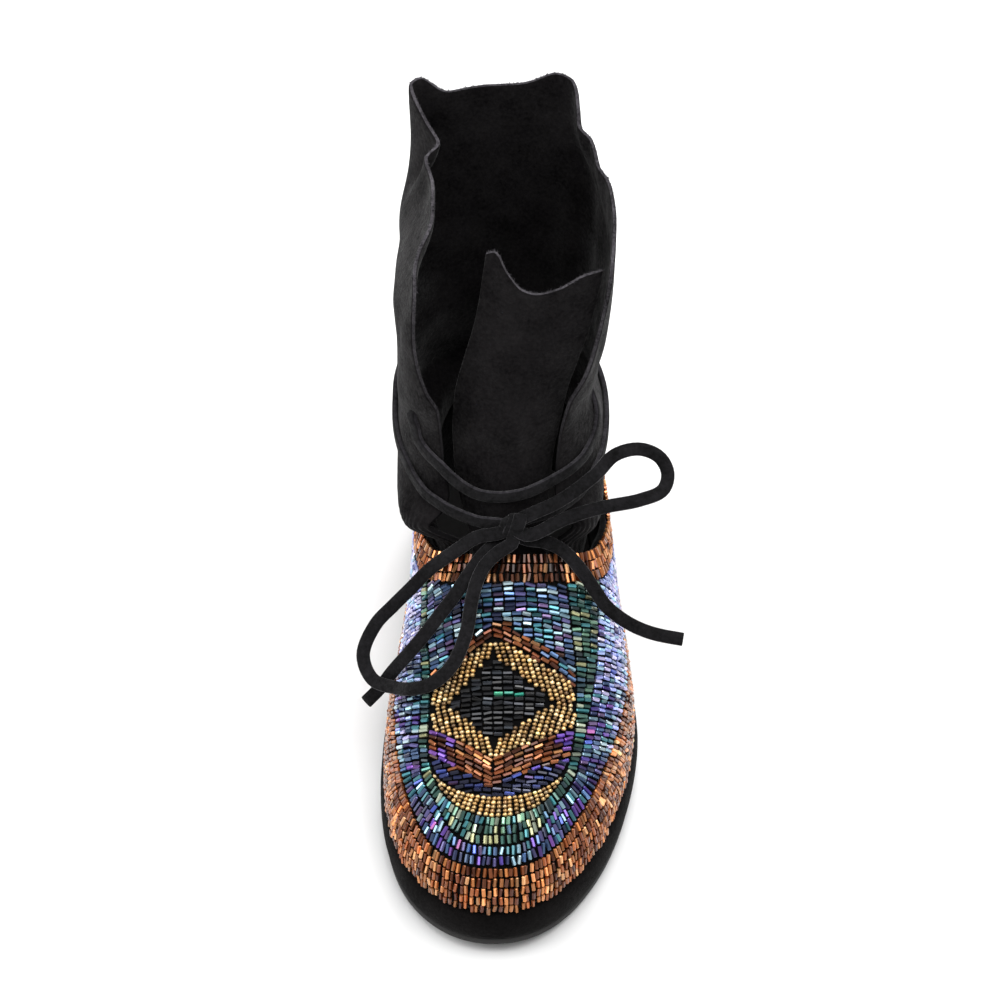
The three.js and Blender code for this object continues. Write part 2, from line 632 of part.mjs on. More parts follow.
// The tongue's front face: a strip along its middle line whose edges curl back from it.
function tonguePoint(across, share) {
  const up = tongueTopAt(across) * share;
  const rise = tongueLine.z(up + 1) - tongueLine.z(up - 1);
  const slant = Math.atan2(rise, tongueLine.y(up + 1) - tongueLine.y(up - 1));
  const back = tongueLine.curl(up) * across ** 2;
  return new THREE.Vector3(
    tongueLine.x(up) + across * tongueLine.halfWidth(up),
    tongueLine.y(up) + back * Math.sin(slant),
    tongueLine.z(up) - back * Math.cos(slant),
  );
}

function tongueGeometry() {
  const front = Array.from({ length: TONGUE_COLUMNS + 1 }, (_, i) =>
    Array.from({ length: TONGUE_ROWS + 1 }, (__, j) =>
      tonguePoint((2 * i) / TONGUE_COLUMNS - 1, j / TONGUE_ROWS)));
  return wallGeometry(front, offsetGrid(front, -TONGUE_WALL, false), false);
}

const LEG_AXIS = new THREE.Vector3(-2, 64, 0);
const BOW_FACE = new THREE.Vector3(0, -0.6, 0.8);
const AROUND_LEG = ["lace_front_crossing", "lace_ankle_turn"];

// Flat thong along a route: a squared oval section whose flat face looks where faceAt says.
function thongGeometry(route, faceAt) {
  const knots = route.map((point) => new THREE.Vector3(...point));
  const curve = new THREE.CatmullRomCurve3(knots, false, "centripetal");
  const steps = Math.round(curve.getLength() / LACE_STEP);
  const middles = curve.getSpacedPoints(steps);
  const rings = middles.map((middle, i) => {
    const tangent = curve.getTangentAt(i / steps);
    const side = faceAt(middle).cross(tangent).normalize();
    const face = tangent.clone().cross(side);
    return Array.from({ length: LACE_SIDES }, (_, k) => {
      const angle = (2 * Math.PI * (k + 0.5)) / LACE_SIDES;
      return middle.clone()
        .addScaledVector(side, (LACE_WIDTH / 2) * signedPower(Math.cos(angle), LACE_SQUARENESS))
        .addScaledVector(face, (LACE_THICKNESS / 2) * signedPower(Math.sin(angle), LACE_SQUARENESS));
    });
  });
  const quads = [];
  for (let k = 0; k < LACE_SIDES; k += 1) {
    const next = (k + 1) % LACE_SIDES;
    for (let i = 0; i < steps; i += 1) {
      quads.push([rings[i][k], rings[i][next], rings[i + 1][next], rings[i + 1][k]]);
    }
    quads.push([middles[0], rings[0][next], rings[0][k], middles[0]]);
    quads.push([middles[steps], rings[steps][k], rings[steps][next], middles[steps]]);
  }
  return closedGeometry(quads);
}

function knotGeometry() {
  const geometry = new THREE.SphereGeometry(1, 14, 9);
  geometry.deleteAttribute("normal");
  geometry.deleteAttribute("uv");
  geometry.scale(KNOT.halfWidth, KNOT.halfDepth, KNOT.halfHeight);
  geometry.translate(KNOT.x, KNOT.y, KNOT.z);
  return mergeVertices(geometry);
}

const boot = new THREE.Group();

function addPiece(name, geometry, color, roughness, metalness) {
  const mesh = new THREE.Mesh(geometry, new THREE.MeshStandardMaterial({ color, roughness, metalness }));
  mesh.name = name;
  boot.add(mesh);
}

addPiece("outsole", outsoleGeometry(), 0x1c1a19, 0.85, 0);
addPiece("midsole", midsoleGeometry(), 0x151415, 0.95, 0);
addPiece("insole", insoleGeometry(), 0x1b1716, 0.95, 0);
addPiece("upper", upperGeometry(), 0x131213, 0.95, 0);
addPiece("shaft", shaftGeometry(), 0x1d1c1e, 0.95, 0);
addPiece("tongue", tongueGeometry(), 0x1d1c1e, 0.95, 0);

const allTurns = columnTurns();
const greenTurns = columnTurns(laneReach((turn) => greenSpan(turn)[1] - greenSpan(turn)[0]));
const apronTurns = columnTurns(laneReach((turn) => apronSpan(turn)[1] - apronSpan(turn)[0]));
const copperSpan = (turn) => [LANE_START, laneTops(turn).copper];
const blueSpan = (turn) => [laneTops(turn).copper + LANE_GAP, laneTops(turn).blue];
const throatSpan = (turn) => [rayAt(turn).length - THROAT_LANE, rayAt(turn).length - LANE_GAP];
addPiece("bead_lane_copper", laneGeometry(allTurns, true, 4, copperSpan), 0xb0662f, 0.3, 0.6);
addPiece("bead_lane_blue", laneGeometry(allTurns, true, 2, blueSpan), 0x4a5fa8, 0.3, 0.6);
addPiece("bead_lane_green", laneGeometry(greenTurns, false, 2, greenSpan), 0x2f7a6c, 0.3, 0.6);
addPiece("bead_apron", laneGeometry(apronTurns, false, 9, apronSpan), 0x2a2530, 0.3, 0.6);
addPiece("bead_lane_throat", laneGeometry(allTurns, true, 2, throatSpan), 0xb0662f, 0.3, 0.6);

const outFromLeg = (point) => new THREE.Vector3(point.x - LEG_AXIS.x, point.y - LEG_AXIS.y, 0);
const towardsFront = () => BOW_FACE.clone();
for (const [name, route] of Object.entries(ROUTE)) {
  const faceAt = AROUND_LEG.includes(name) ? outFromLeg : towardsFront;
  addPiece(name, thongGeometry(route, faceAt), 0x232223, 0.95, 0);
}
addPiece("bow_knot", knotGeometry(), 0x232223, 0.95, 0);

export default boot;
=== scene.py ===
"""Looks of a left lace-up moccasin boot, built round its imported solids.

Shapes are worked out in millimetres in the boot's own frame (+Z up, toe towards -Y, outer side
towards +X) and turned into metres as the meshes are made. The sole, upper, shaft and tongue follow
the same formulas as the solids, finer; the bead lanes become rows of single beads.
"""

import logging
import math
from dataclasses import dataclass, field
from enum import Enum
from functools import partial
from typing import Callable, NamedTuple, Sequence

import bpy
import numpy as np
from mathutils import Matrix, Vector


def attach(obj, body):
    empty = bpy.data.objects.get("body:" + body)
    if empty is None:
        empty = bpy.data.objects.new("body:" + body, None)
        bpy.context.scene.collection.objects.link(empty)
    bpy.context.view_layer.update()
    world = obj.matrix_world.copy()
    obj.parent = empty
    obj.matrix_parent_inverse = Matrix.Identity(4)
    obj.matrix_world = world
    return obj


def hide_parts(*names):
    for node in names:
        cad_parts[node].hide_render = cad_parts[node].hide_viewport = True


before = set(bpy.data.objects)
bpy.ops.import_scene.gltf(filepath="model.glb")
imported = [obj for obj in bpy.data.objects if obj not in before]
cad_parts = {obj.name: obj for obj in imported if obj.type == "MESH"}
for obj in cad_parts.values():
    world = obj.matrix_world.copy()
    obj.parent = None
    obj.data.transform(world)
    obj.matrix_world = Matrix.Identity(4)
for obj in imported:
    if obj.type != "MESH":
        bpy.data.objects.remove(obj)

LOG = logging.getLogger("boot")
MM = 0.001
BODY = "root"
BEAD_COLOR = "bead_color"
BEAD_SEED = 7
TINY = 1e-9
Array = np.ndarray
Socket = bpy.types.NodeSocket
Piece = bpy.types.Object
Random = np.random.Generator


class Slot(Enum):
    """Material slots of the record."""

    OUTSOLE = "outsole_rubber"
    COVER = "suede_cover"
    INSOLE = "insole_leather"
    UPPER = "suede_upper"
    SHAFT = "suede_shaft"
    LACE = "suede_lace"
    COPPER = "beads_copper"
    BLUE = "beads_blue"
    GREEN = "beads_green"
    APRON = "beads_apron"


class Line:
    """Smooth line through rows of places and values, which never overshoots the rows.

    Slopes s are harmonic means of the rises beside a row, or 0 where these differ in sign. Between
    two rows, w apart, v(t) = (1 - e) v0 + e v1 + t (1 - t) w ((1 - t) s0 - t s1), e = t^2 (3 - 2 t).
    """

    def __init__(self, at: Sequence[float], value: Sequence[float]) -> None:
        """Works out the slopes.

        Args:
            at: places of the rows, rising.
            value: values of the rows.
        """
        self.at = np.asarray(at, float)
        self.value = np.asarray(value, float)
        self.width = np.diff(self.at)
        rise = np.diff(self.value) / self.width
        product = rise[:-1] * rise[1:]
        total = np.where(product > 0, rise[:-1] + rise[1:], 1.0)
        inner = np.where(product > 0, 2 * product / total, 0.0)
        self.slope = np.concatenate([rise[:1], inner, rise[-1:]])

    def __call__(self, wanted: Array | float) -> Array:
        """Values at places.

        Args:
            wanted: places, held to the rows' span.

        Returns:
            The values, in the places' shape.
        """
        place = np.clip(wanted, self.at[0], self.at[-1])
        row = np.clip(np.searchsorted(self.at, place, side="right") - 1, 0, len(self.width) - 1)
        t = (place - self.at[row]) / self.width[row]
        ease = t * t * (3 - 2 * t)
        bend = t * (1 - t) * self.width[row]
        flat = (1 - ease) * self.value[row] + ease * self.value[row + 1]
        return flat + bend * ((1 - t) * self.slope[row] - t * self.slope[row + 1])


class Table:
    """Short table of named columns."""

    def __init__(self, columns: str, *rows: Sequence[float]) -> None:
        """Keeps the rows.

        Args:
            columns: column names, apart by spaces.
            rows: rows of numbers in the columns' order.
        """
        self.columns = dict(zip(columns.split(), np.asarray(rows, float).T))

    def __getitem__(self, column: str) -> Array:
        """One column's numbers."""
        return self.columns[column]

    def line(self, place: str, column: str) -> Line:
        """Smooth line through a column over another one."""
        return Line(self.columns[place], self.columns[column])


PLAN = Table(
    "from_toe half_width middle",
    (0, 48.7, -5.9), (20, 48.7, -5.6), (45, 48.7, -3.9), (72, 48.7, -1.5), (95, 48.7, 0.3),
    (122, 46.4, 1.3), (150, 42.4, 1.6), (180, 39, 0.6), (212, 36.6, -1), (250, 36, -1.6),
)
LAST = Table(
    "from_toe crown square",
    (0, 22.5, 2.5), (12, 24.5, 2.5), (25, 27.5, 2.5), (50, 34.5, 2.45), (75, 42.5, 2.4),
    (100, 52.5, 2.3), (130, 63.5, 2.2), (145, 71, 2.2), (165, 110, 2.3), (190, 150, 2.4),
    (250, 170, 2.4),
)
MIDSOLE_SIDE = Table(
    "up inset", (0, 0.9), (0.12, 0.4), (0.25, 0.1), (0.38, 0), (0.5, 0), (0.65, 0.25), (0.78, 0.7),
    (0.88, 1.3), (0.94, 1.9), (1, 3.4),
)
OUTSOLE_SIDE = Table("up inset", (0, 1.8), (0.18, 1.15), (0.8, 1.0), (1, 1.15))
RIM_ROWS = ((12, 74), (22, 69), (42, 67.5), (80, 71), (125, 78.5))


def arch(share: Array, power: float) -> Array:
    """Superellipse height (1 - (1 - s)^p)^(1/p) over a base from its end (0) to its middle (1)."""
    return (1 - (1 - np.clip(share, 0, 1)) ** power) ** (1 / power)


def signed_power(value: Array, power: Array | float) -> Array:
    """Power of a number's size that keeps its sign."""
    return np.sign(value) * np.abs(value) ** power


def smoothstep(value: Array, low: Array | float, high: Array | float) -> Array:
    """Eases from 0 at low to 1 at high."""
    t = np.clip((value - low) / (high - low), 0, 1)
    return t * t * (3 - 2 * t)


def unit(vectors: Array) -> Array:
    """Vectors brought to length 1."""
    return vectors / np.maximum(np.linalg.norm(vectors, axis=-1, keepdims=True), TINY)


def full_turn(count: int) -> Array:
    """Even angles of one full turn."""
    return np.arange(count) * 2 * np.pi / count


def grid_normals(grid: Array, closed: bool) -> Array:
    """Normals of a grid of points, as cross products of its central differences.

    Args:
        grid: points by column, row and axis.
        closed: whether the last column meets the first.

    Returns:
        Unit normals in the grid's shape.
    """
    if closed:
        along = np.roll(grid, -1, axis=0) - np.roll(grid, 1, axis=0)
    else:
        along = np.gradient(grid, axis=0)
    return unit(np.cross(along, np.gradient(grid, axis=1)))


def run_lengths(points: Array) -> Array:
    """Lengths up to each point of polylines, which run along the last axis but one."""
    steps = np.linalg.norm(np.diff(points, axis=-2), axis=-1)
    start = np.zeros(steps.shape[:-1] + (1,))
    return np.concatenate([start, np.cumsum(steps, axis=-1)], axis=-1)


def at_lengths(wanted: Array, lengths: Array, values: Array) -> Array:
    """Vectors at lengths along a line, in proportion between its points."""
    return np.stack([np.interp(wanted, lengths, column) for column in values.T], axis=-1)


def first_reach(test: Array, lengths: Array) -> Array:
    """Length up each line at which a test first turns positive, or the whole length.

    Args:
        test: test values by line and sample.
        lengths: lengths by line and sample.

    Returns:
        One length a line, found between its two samples in proportion.
    """
    positive = test > 0
    j = np.clip(positive.argmax(axis=1), 1, test.shape[1] - 1)
    line = np.arange(len(test))
    before, after = test[line, j - 1], test[line, j]
    share = np.clip(-before / np.where(after > before, after - before, 1.0), 0, 1)
    found = lengths[line, j - 1] + share * (lengths[line, j] - lengths[line, j - 1])
    return np.where(positive.any(axis=1), found, lengths[:, -1])


class Section(NamedTuple):
    """Last's section at a place along the upper."""

    from_toe: Array
    middle: Array
    half: Array
    base: Array
    crown: Array
    square: Array


class PlanLines(NamedTuple):
    """Plan lines from the sole's edge inwards, straight but for a lean towards the toe."""

    x: Array
    y: Array
    end_x: Array
    end_y: Array
    lean: Array
    lean_power: float = 2.4

    def at(self, share: Array) -> tuple[Array, Array]:
        """Places across and along at shares of the way: straight, less lean * arch(share)."""
        across = self.x[:, None] + (self.end_x - self.x)[:, None] * share
        along = self.y[:, None] + (self.end_y - self.y)[:, None] * share
        return across, along - self.lean[:, None] * arch(share, self.lean_power)


@dataclass(frozen=True)
class FootForm:
    """Foot's outline, the last over it and the lines up the upper's outside."""

    sole_length: float = 250.0
    ball_half_width: float = 48.7
    outsole_thickness: float = 3.5
    midsole_top: float = 17.0
    toe_spring: float = 5.0
    toe_spring_reach: float = 62.0
    arch_rise: float = 2.5
    arch_start: float = 118.0
    arch_length: float = 68.0
    seam_gap: float = 0.35
    toe_reach: float = 95.0
    toe_power: float = 2.1
    heel_reach: float = 38.0
    heel_power: float = 2.2
    toe_box_reach: float = 22.0
    toe_box_power: float = 2.2
    heel_box_reach: float = 30.0
    heel_box_power: float = 2.4
    upper_inset: float = 3.2
    throat_y: float = 4.0
    rim_side_y: float = RIM_ROWS[1][0]
    rim_back_height: float = RIM_ROWS[-1][1]
    toe_focus_y: float = -55.0
    heel_focus_y: float = 84.0
    spoke_lean: float = 26.0
    lean_starts: tuple[float, float] = (-105.0, -35.0)
    lean_ends: tuple[float, float] = (15.0, 65.0)
    samples: int = 90
    sample_power: float = 2.6
    halvings: int = 30
    ridge_past_throat: float = 6.0
    ridge_samples: int = 400
    slope_step: float = 0.2

    @property
    def upper_half_length(self) -> float:
        """Half length of the upper at the sole's edge."""
        return self.sole_length / 2 - self.upper_inset

    def sole_half_width(self, from_toe: Array) -> Array:
        """Half width of the outline, with superellipse ends at the toe and heel."""
        toe = arch(from_toe / self.toe_reach, self.toe_power)
        heel = arch((self.sole_length - from_toe) / self.heel_reach, self.heel_power)
        return PLAN.line("from_toe", "half_width")(from_toe) * toe * heel

    def floor_lift(self, from_toe: Array) -> Array:
        """Underside's height: a toe spring (1 - d/r)^2 and a waist sin^2 off the floor."""
        toe = np.maximum(0, 1 - from_toe / self.toe_spring_reach)
        waist = np.clip((from_toe - self.arch_start) / self.arch_length, 0, 1)
        return self.toe_spring * toe**2 + self.arch_rise * np.sin(np.pi * waist) ** 2

    def edge_height(self, from_toe: Array) -> Array:
        """Height of the upper's lower edge."""
        return self.floor_lift(from_toe) + self.midsole_top + self.seam_gap

    def outline(self, turn: Array, inset: Array | float) -> tuple[Array, Array, Array]:
        """Points of the foot's outline.

        Args:
            turn: from the toe (0) by the outer side to the heel (pi) and back by the inner side.
            inset: how far inside the sole's edge.

        Returns:
            Place across, place along and distance from the toe tip.
        """
        from_toe = self.sole_length * (1 - np.cos(turn)) / 2
        half = self.sole_half_width(from_toe) * (1 - inset / self.ball_half_width)
        x = PLAN.line("from_toe", "middle")(from_toe) + np.sign(np.sin(turn)) * half
        y = -(self.sole_length / 2 - inset) * np.cos(turn)
        return x, y, from_toe

    def section(self, y: Array) -> Section:
        """Last's section at places along the upper."""
        from_toe = (self.sole_length / 2) * (1 + y / self.upper_half_length)
        toe = arch(from_toe / self.toe_box_reach, self.toe_box_power)
        heel = arch((self.sole_length - from_toe) / self.heel_box_reach, self.heel_box_power)
        width_share = 1 - self.upper_inset / self.ball_half_width
        return Section(
            from_toe=from_toe,
            middle=PLAN.line("from_toe", "middle")(from_toe),
            half=self.sole_half_width(from_toe) * width_share,
            base=self.edge_height(from_toe),
            crown=LAST.line("from_toe", "crown")(from_toe) * toe * heel,
            square=LAST.line("from_toe", "square")(from_toe),
        )

    def dome(self, x: Array, y: Array) -> Array:
        """Height of the upper's outside: base + crown (1 - |x/half|^n)^(1/n)."""
        s = self.section(y)
        across = np.minimum(np.abs(x - s.middle) / np.maximum(s.half, TINY), 1)
        across = np.where(s.half > 0, across, 0)
        return s.base + s.crown * (1 - across**s.square) ** (1 / s.square)

    def rim_height(self, y: Array) -> Array:
        """Height of the upper's rim behind the throat."""
        throat = self.section(np.asarray(self.throat_y))
        places, heights = zip((self.throat_y, float(throat.base + throat.crown)), *RIM_ROWS)
        return Line(places, heights)(y)

    def rim_back_y(self) -> float:
        """Where the rim crosses the heel's middle line."""
        crown = float(LAST["crown"][-1])
        lift = (self.rim_back_height - self.midsole_top - self.seam_gap) / crown
        share = 1 - (1 - lift**self.heel_box_power) ** (1 / self.heel_box_power)
        return self.upper_half_length * (1 - 2 * self.heel_box_reach * share / self.sole_length)

    def rays(self, turn: Array) -> Array:
        """Lines up the upper's outside from the sole's edge to the rim, square to the rim.

        Args:
            turn: places round the outline.

        Returns:
            Points by line, sample and axis, over straight plan lines.
        """
        x, y, _ = self.outline(turn, self.upper_inset)
        length = self.upper_half_length
        front = (y + length) / (self.rim_side_y + length)
        behind = (y - self.rim_side_y) / (length - self.rim_side_y)
        ahead_y = self.throat_y + (self.rim_side_y - self.throat_y) * front
        behind_y = self.rim_side_y + (self.rim_back_y() - self.rim_side_y) * behind
        rim_y = np.where(front < 1, ahead_y, behind_y)
        s = self.section(rim_y)
        lift = np.minimum((self.rim_height(rim_y) - s.base) / s.crown, 1)
        rim_x = s.middle + np.sign(np.sin(turn)) * s.half * (1 - lift**s.square) ** (1 / s.square)
        return self._over_plan(PlanLines(x, y, rim_x, rim_y, np.zeros_like(x)), 1.0)

    def spokes(self, turn: Array) -> Array:
        """Lines up the upper's outside along which beads are strung.

        They run to one point at the toe and to one at the heel, and lean towards the toe at the
        sides. They end at the middle line or, behind the throat, at the rim.

        Args:
            turn: places round the outline.

        Returns:
            Points by line, sample and axis.
        """
        x, y, _ = self.outline(turn, self.upper_inset)
        end_y = np.clip(y, self.toe_focus_y, self.heel_focus_y)
        lean = self.spoke_lean * smoothstep(y, *self.lean_starts) * (1 - smoothstep(y, *self.lean_ends))
        lines = PlanLines(x, y, self.section(end_y).middle, end_y, lean)
        low, high = np.zeros((len(x), 1)), np.ones((len(x), 1))
        over = self._above_rim(lines, high)
        for _ in range(self.halvings):
            share = (low + high) / 2
            above = self._above_rim(lines, share)
            high = np.where(above, share, high)
            low = np.where(above, low, share)
        return self._over_plan(lines, np.where(over, high, 1.0))

    def _above_rim(self, lines: PlanLines, share: Array) -> Array:
        """Whether the last is higher than the rim at shares along plan lines."""
        x, y = lines.at(share)
        return self.dome(x, y) > self.rim_height(y)

    def _over_plan(self, lines: PlanLines, cut: Array | float) -> Array:
        """Surface lines over plan lines, with samples crowded towards the sole's edge.

        Args:
            lines: the plan lines.
            cut: share of each line at which it ends.

        Returns:
            Points by line, sample and axis.
        """
        share = np.linspace(0, 1, self.samples) ** self.sample_power
        at_x, at_y = lines.at(share[None, :] * cut)
        at_z = self.dome(at_x, at_y)
        at_z[:, 0] = self.edge_height(self.section(lines.y).from_toe)
        return np.stack([at_x, at_y, at_z], axis=-1)

    def _ridge_line(self) -> tuple[Array, Array]:
        """Places along the vamp's middle line and the lengths up to them from its toe end."""
        end = self.throat_y + self.ridge_past_throat
        y = np.linspace(-self.upper_half_length, end, self.ridge_samples)
        return y, run_lengths(np.stack([y, self.dome(self.section(y).middle, y)], axis=-1))

    def ridge(self, run: Array) -> Array:
        """Places along the foot at lengths up the vamp's middle line."""
        y, lengths = self._ridge_line()
        return np.interp(run, lengths, y)

    def run_up(self, places: Array) -> Array:
        """Lengths up the vamp's middle line at places along the foot."""
        return np.interp(places, *self._ridge_line())

    def on_top(self, x: Array, y: Array) -> tuple[Array, Array]:
        """Points and normals of the vamp's top, from the dome's slopes.

        Args:
            x: places across.
            y: places along.

        Returns:
            Points and unit normals.
        """
        step = self.slope_step
        slope_x = (self.dome(x + step, y) - self.dome(x - step, y)) / (2 * step)
        slope_y = (self.dome(x, y + step) - self.dome(x, y - step)) / (2 * step)
        points = np.stack([x, y, self.dome(x, y)], axis=-1)
        return points, unit(np.stack([-slope_x, -slope_y, np.ones_like(x)], axis=-1))


def linear(code: str) -> tuple[float, float, float, float]:
    """Linear colour of an sRGB hex code, with alpha 1."""
    parts = [int(code[i : i + 2], 16) / 255 for i in (1, 3, 5)]
    red, green, blue = (p / 12.92 if p <= 0.04045 else ((p + 0.055) / 1.055) ** 2.4 for p in parts)
    return red, green, blue, 1.0


class Look:
    """A new material with its nodes and its surface shader."""

    def __init__(self, name: str, color: str) -> None:
        """Makes the material.

        Args:
            name: the real material's name.
            color: sRGB hex code for the viewport and the shader's start colour.
        """
        self.material = bpy.data.materials.new(name)
        self.material.use_nodes = True
        self.material.diffuse_color = linear(color)
        self.tree = self.material.node_tree
        self.shader = self.tree.nodes["Principled BSDF"]
        self.surface({"Base Color": linear(color)})

    def surface(self, inputs: dict) -> None:
        """Sets or links inputs of the surface shader."""
        self._fill(self.shader, inputs)

    def _fill(self, node: bpy.types.Node, inputs: dict) -> None:
        """Gives a node its inputs.

        Args:
            node: the node.
            inputs: values, or sockets to link from, by input name or number.
        """
        for name, value in inputs.items():
            if isinstance(value, Socket):
                self.tree.links.new(value, node.inputs[name])
            else:
                node.inputs[name].default_value = value

    def node(self, kind: str, inputs: dict, output: str | int, **settings: object) -> Socket:
        """Adds a shader node.

        Args:
            kind: the node's type name, without the start that all have.
            inputs: values, or sockets to link from, by input name or number.
            output: the wanted output's name or number.
            settings: the node's own properties.

        Returns:
            The output.
        """
        node = self.tree.nodes.new(f"ShaderNode{kind}")
        for name, value in settings.items():
            setattr(node, name, value)
        self._fill(node, inputs)
        return node.outputs[output]

    def place(self) -> Socket:
        """The object's own coordinates."""
        return self.node("TexCoord", {}, "Object")

    def noise(self, size_mm: float, detail: float, roughness: float = 0.5) -> Socket:
        """Noise of a real size over the object."""
        inputs = {"Vector": self.place(), "Scale": 1 / (size_mm * MM), "Detail": detail}
        return self.node("TexNoise", inputs | {"Roughness": roughness}, "Fac")

    def ramp(self, value: Socket, low: float, high: float) -> Socket:
        """Straight rise from 0 at low to 1 at high."""
        return self.node("MapRange", {"Value": value, "From Min": low, "From Max": high}, "Result")

    def product(self, first: Socket, second: Socket | float) -> Socket:
        """Product of two values."""
        return self.node("Math", {0: first, 1: second}, 0, operation="MULTIPLY")

    def bump(self, height: Socket, strength: float, depth_mm: float) -> None:
        """Raises a small relief on the surface."""
        inputs = {"Height": height, "Strength": strength, "Distance": depth_mm * MM}
        self.surface({"Normal": self.node("Bump", inputs, "Normal")})


@dataclass(frozen=True)
class Suede:
    """Napped split leather: short fibres, cloudy brushing marks and a soft sheen.

    The nap is drawn about three times coarser than real fibres, which are too fine to show.
    """

    name: str
    dark: str
    light: str
    fibre_mm: float = 1.5
    cloud_mm: float = 14.0
    grain: float = 1.5
    shades: tuple[float, float] = (-0.4, 0.44)
    sheen: float = 0.06
    bump_mm: float = 0.5
    fade_mm: tuple[float, float] | None = None

    def material(self) -> bpy.types.Material:
        """Makes the material: noise of two sizes mixes dark and light, and the fine one is bump.

        Returns:
            The material, whose light colour comes in only with height where fade_mm is given, so that
            the edge is darker lower down.
        """
        look = Look(self.name, self.dark)
        fibre = look.noise(self.fibre_mm, detail=4.0, roughness=0.75)
        cloud = look.noise(self.cloud_mm, detail=2.0)
        both = look.node("Math", {0: fibre, 1: self.grain, 2: cloud}, 0, operation="MULTIPLY_ADD")
        # Each noise averages about a half, so this is where dark and light balance.
        middle = 0.5 * self.grain + 0.5
        share = look.ramp(both, *(middle + shade for shade in self.shades))
        if self.fade_mm:
            height = look.node("SeparateXYZ", {0: look.place()}, "Z")
            share = look.product(share, look.ramp(height, *(mm * MM for mm in self.fade_mm)))
        mix = {0: share, 6: linear(self.dark), 7: linear(self.light)}
        look.bump(fibre, strength=0.7, depth_mm=self.bump_mm)
        look.surface(
            {
                "Base Color": look.node("Mix", mix, 2, data_type="RGBA"),
                "Roughness": 0.95,
                "Specular IOR Level": 0.06,
                "Sheen Weight": look.product(share, 2 * self.sheen),
                "Sheen Roughness": 0.45,
            }
        )
        return look.material


@dataclass(frozen=True)
class Glass:
    """Metal-lined or coated glass beads, coloured bead by bead."""

    name: str
    metallic: float = 0.75
    roughness: float = 0.28
    coat: float = 0.4

    def material(self) -> bpy.types.Material:
        """Makes the material: the bead's own colour under a clear glossy coat."""
        look = Look(self.name, "#808080")
        look.surface(
            {
                "Base Color": look.node("Attribute", {}, "Color", attribute_name=BEAD_COLOR),
                "Metallic": self.metallic,
                "Roughness": self.roughness,
                "Coat Weight": self.coat,
                "Coat Roughness": 0.08,
            }
        )
        return look.material


@dataclass(frozen=True)
class Smooth:
    """Rubber or smooth leather with a fine even grain."""

    name: str
    color: str
    roughness: float
    grain_mm: float
    bump_mm: float

    def material(self) -> bpy.types.Material:
        """Makes the material: one colour, with grain as bump only."""
        look = Look(self.name, self.color)
        grain = look.noise(self.grain_mm, detail=2.0)
        look.bump(grain, strength=0.5, depth_mm=self.bump_mm)
        look.surface({"Roughness": self.roughness})
        return look.material


class Finishes:
    """The boot's materials, each made once."""

    def __init__(self) -> None:
        """Makes all materials."""
        self.shaft = Suede("black_suede_shaft", "#050405", "#161415").material()
        self.upper = Suede("black_suede_upper", "#040404", "#0c0b0c").material()
        self.cover = Suede(
            "black_suede_sole_cover", "#050404", "#0e0c0c", cloud_mm=22, sheen=0.02
        ).material()
        self.lace = Suede("black_suede_thong", "#080808", "#1c1b1d", cloud_mm=9).material()
        self.cut_edge = Suede("cut_thong_edge", "#141315", "#343236", cloud_mm=9, sheen=0.15).material()
        self.raw_edge = Suede(
            "raw_suede_edge", "#0c0b0c", "#58555a", fibre_mm=1.1, sheen=0.08, fade_mm=(105, 190)
        ).material()
        self.beads = Glass("coated_glass_beads").material()
        self.rubber = Smooth("black_rubber", "#100e0d", 0.8, 1.2, 0.1).material()
        self.insole = Smooth("dark_lining_leather", "#0e0c0c", 0.75, 0.9, 0.12).material()


def make_piece(
    name: str,
    points: Array,
    faces: Sequence[Array],
    materials: Sequence[bpy.types.Material],
    smooth: bool = True,
) -> Piece:
    """Makes a mesh piece that rides on the boot.

    Args:
        name: the piece's name.
        points: vertices in millimetres.
        faces: arrays of vertex numbers, one array for each number of corners.
        materials: the piece's materials.
        smooth: whether faces are shaded smooth.

    Returns:
        The object.
    """
    loops = np.concatenate([f.ravel() for f in faces]).astype(np.int32)
    sizes = np.concatenate([np.full(len(f), f.shape[1]) for f in faces])
    mesh = bpy.data.meshes.new(name)
    mesh.vertices.add(len(points))
    mesh.vertices.foreach_set("co", (points * MM).astype(np.float32).ravel())
    mesh.loops.add(len(loops))
    mesh.loops.foreach_set("vertex_index", loops)
    mesh.polygons.add(len(sizes))
    mesh.polygons.foreach_set("loop_start", (np.cumsum(sizes) - sizes).astype(np.int32))
    mesh.polygons.foreach_set("use_smooth", np.full(len(sizes), smooth))
    mesh.update(calc_edges=True)
    for material in materials:
        mesh.materials.append(material)
    piece = bpy.data.objects.new(name, mesh)
    bpy.context.scene.collection.objects.link(piece)
    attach(piece, BODY)
    LOG.info("%s: %d vertices, %d faces", name, len(points), len(sizes))
    return piece


def grid_faces(columns: int, rows: int, closed: bool, start: int = 0) -> Array:
    """Quads of a grid whose points run row by row within each column.

    Args:
        columns: number of columns.
        rows: number of points in a column.
        closed: whether the last column meets the first.
        start: number of the first vertex.

    Returns:
        Quads that face along the cross product of column and row directions.
    """
    i = np.arange(columns if closed else columns - 1)
    j = np.arange(rows - 1)
    a = (i[:, None] * rows + j).ravel()
    b = (((i + 1) % columns)[:, None] * rows + j).ravel()
    return start + np.stack([a, b, b + 1, a + 1], axis=-1)


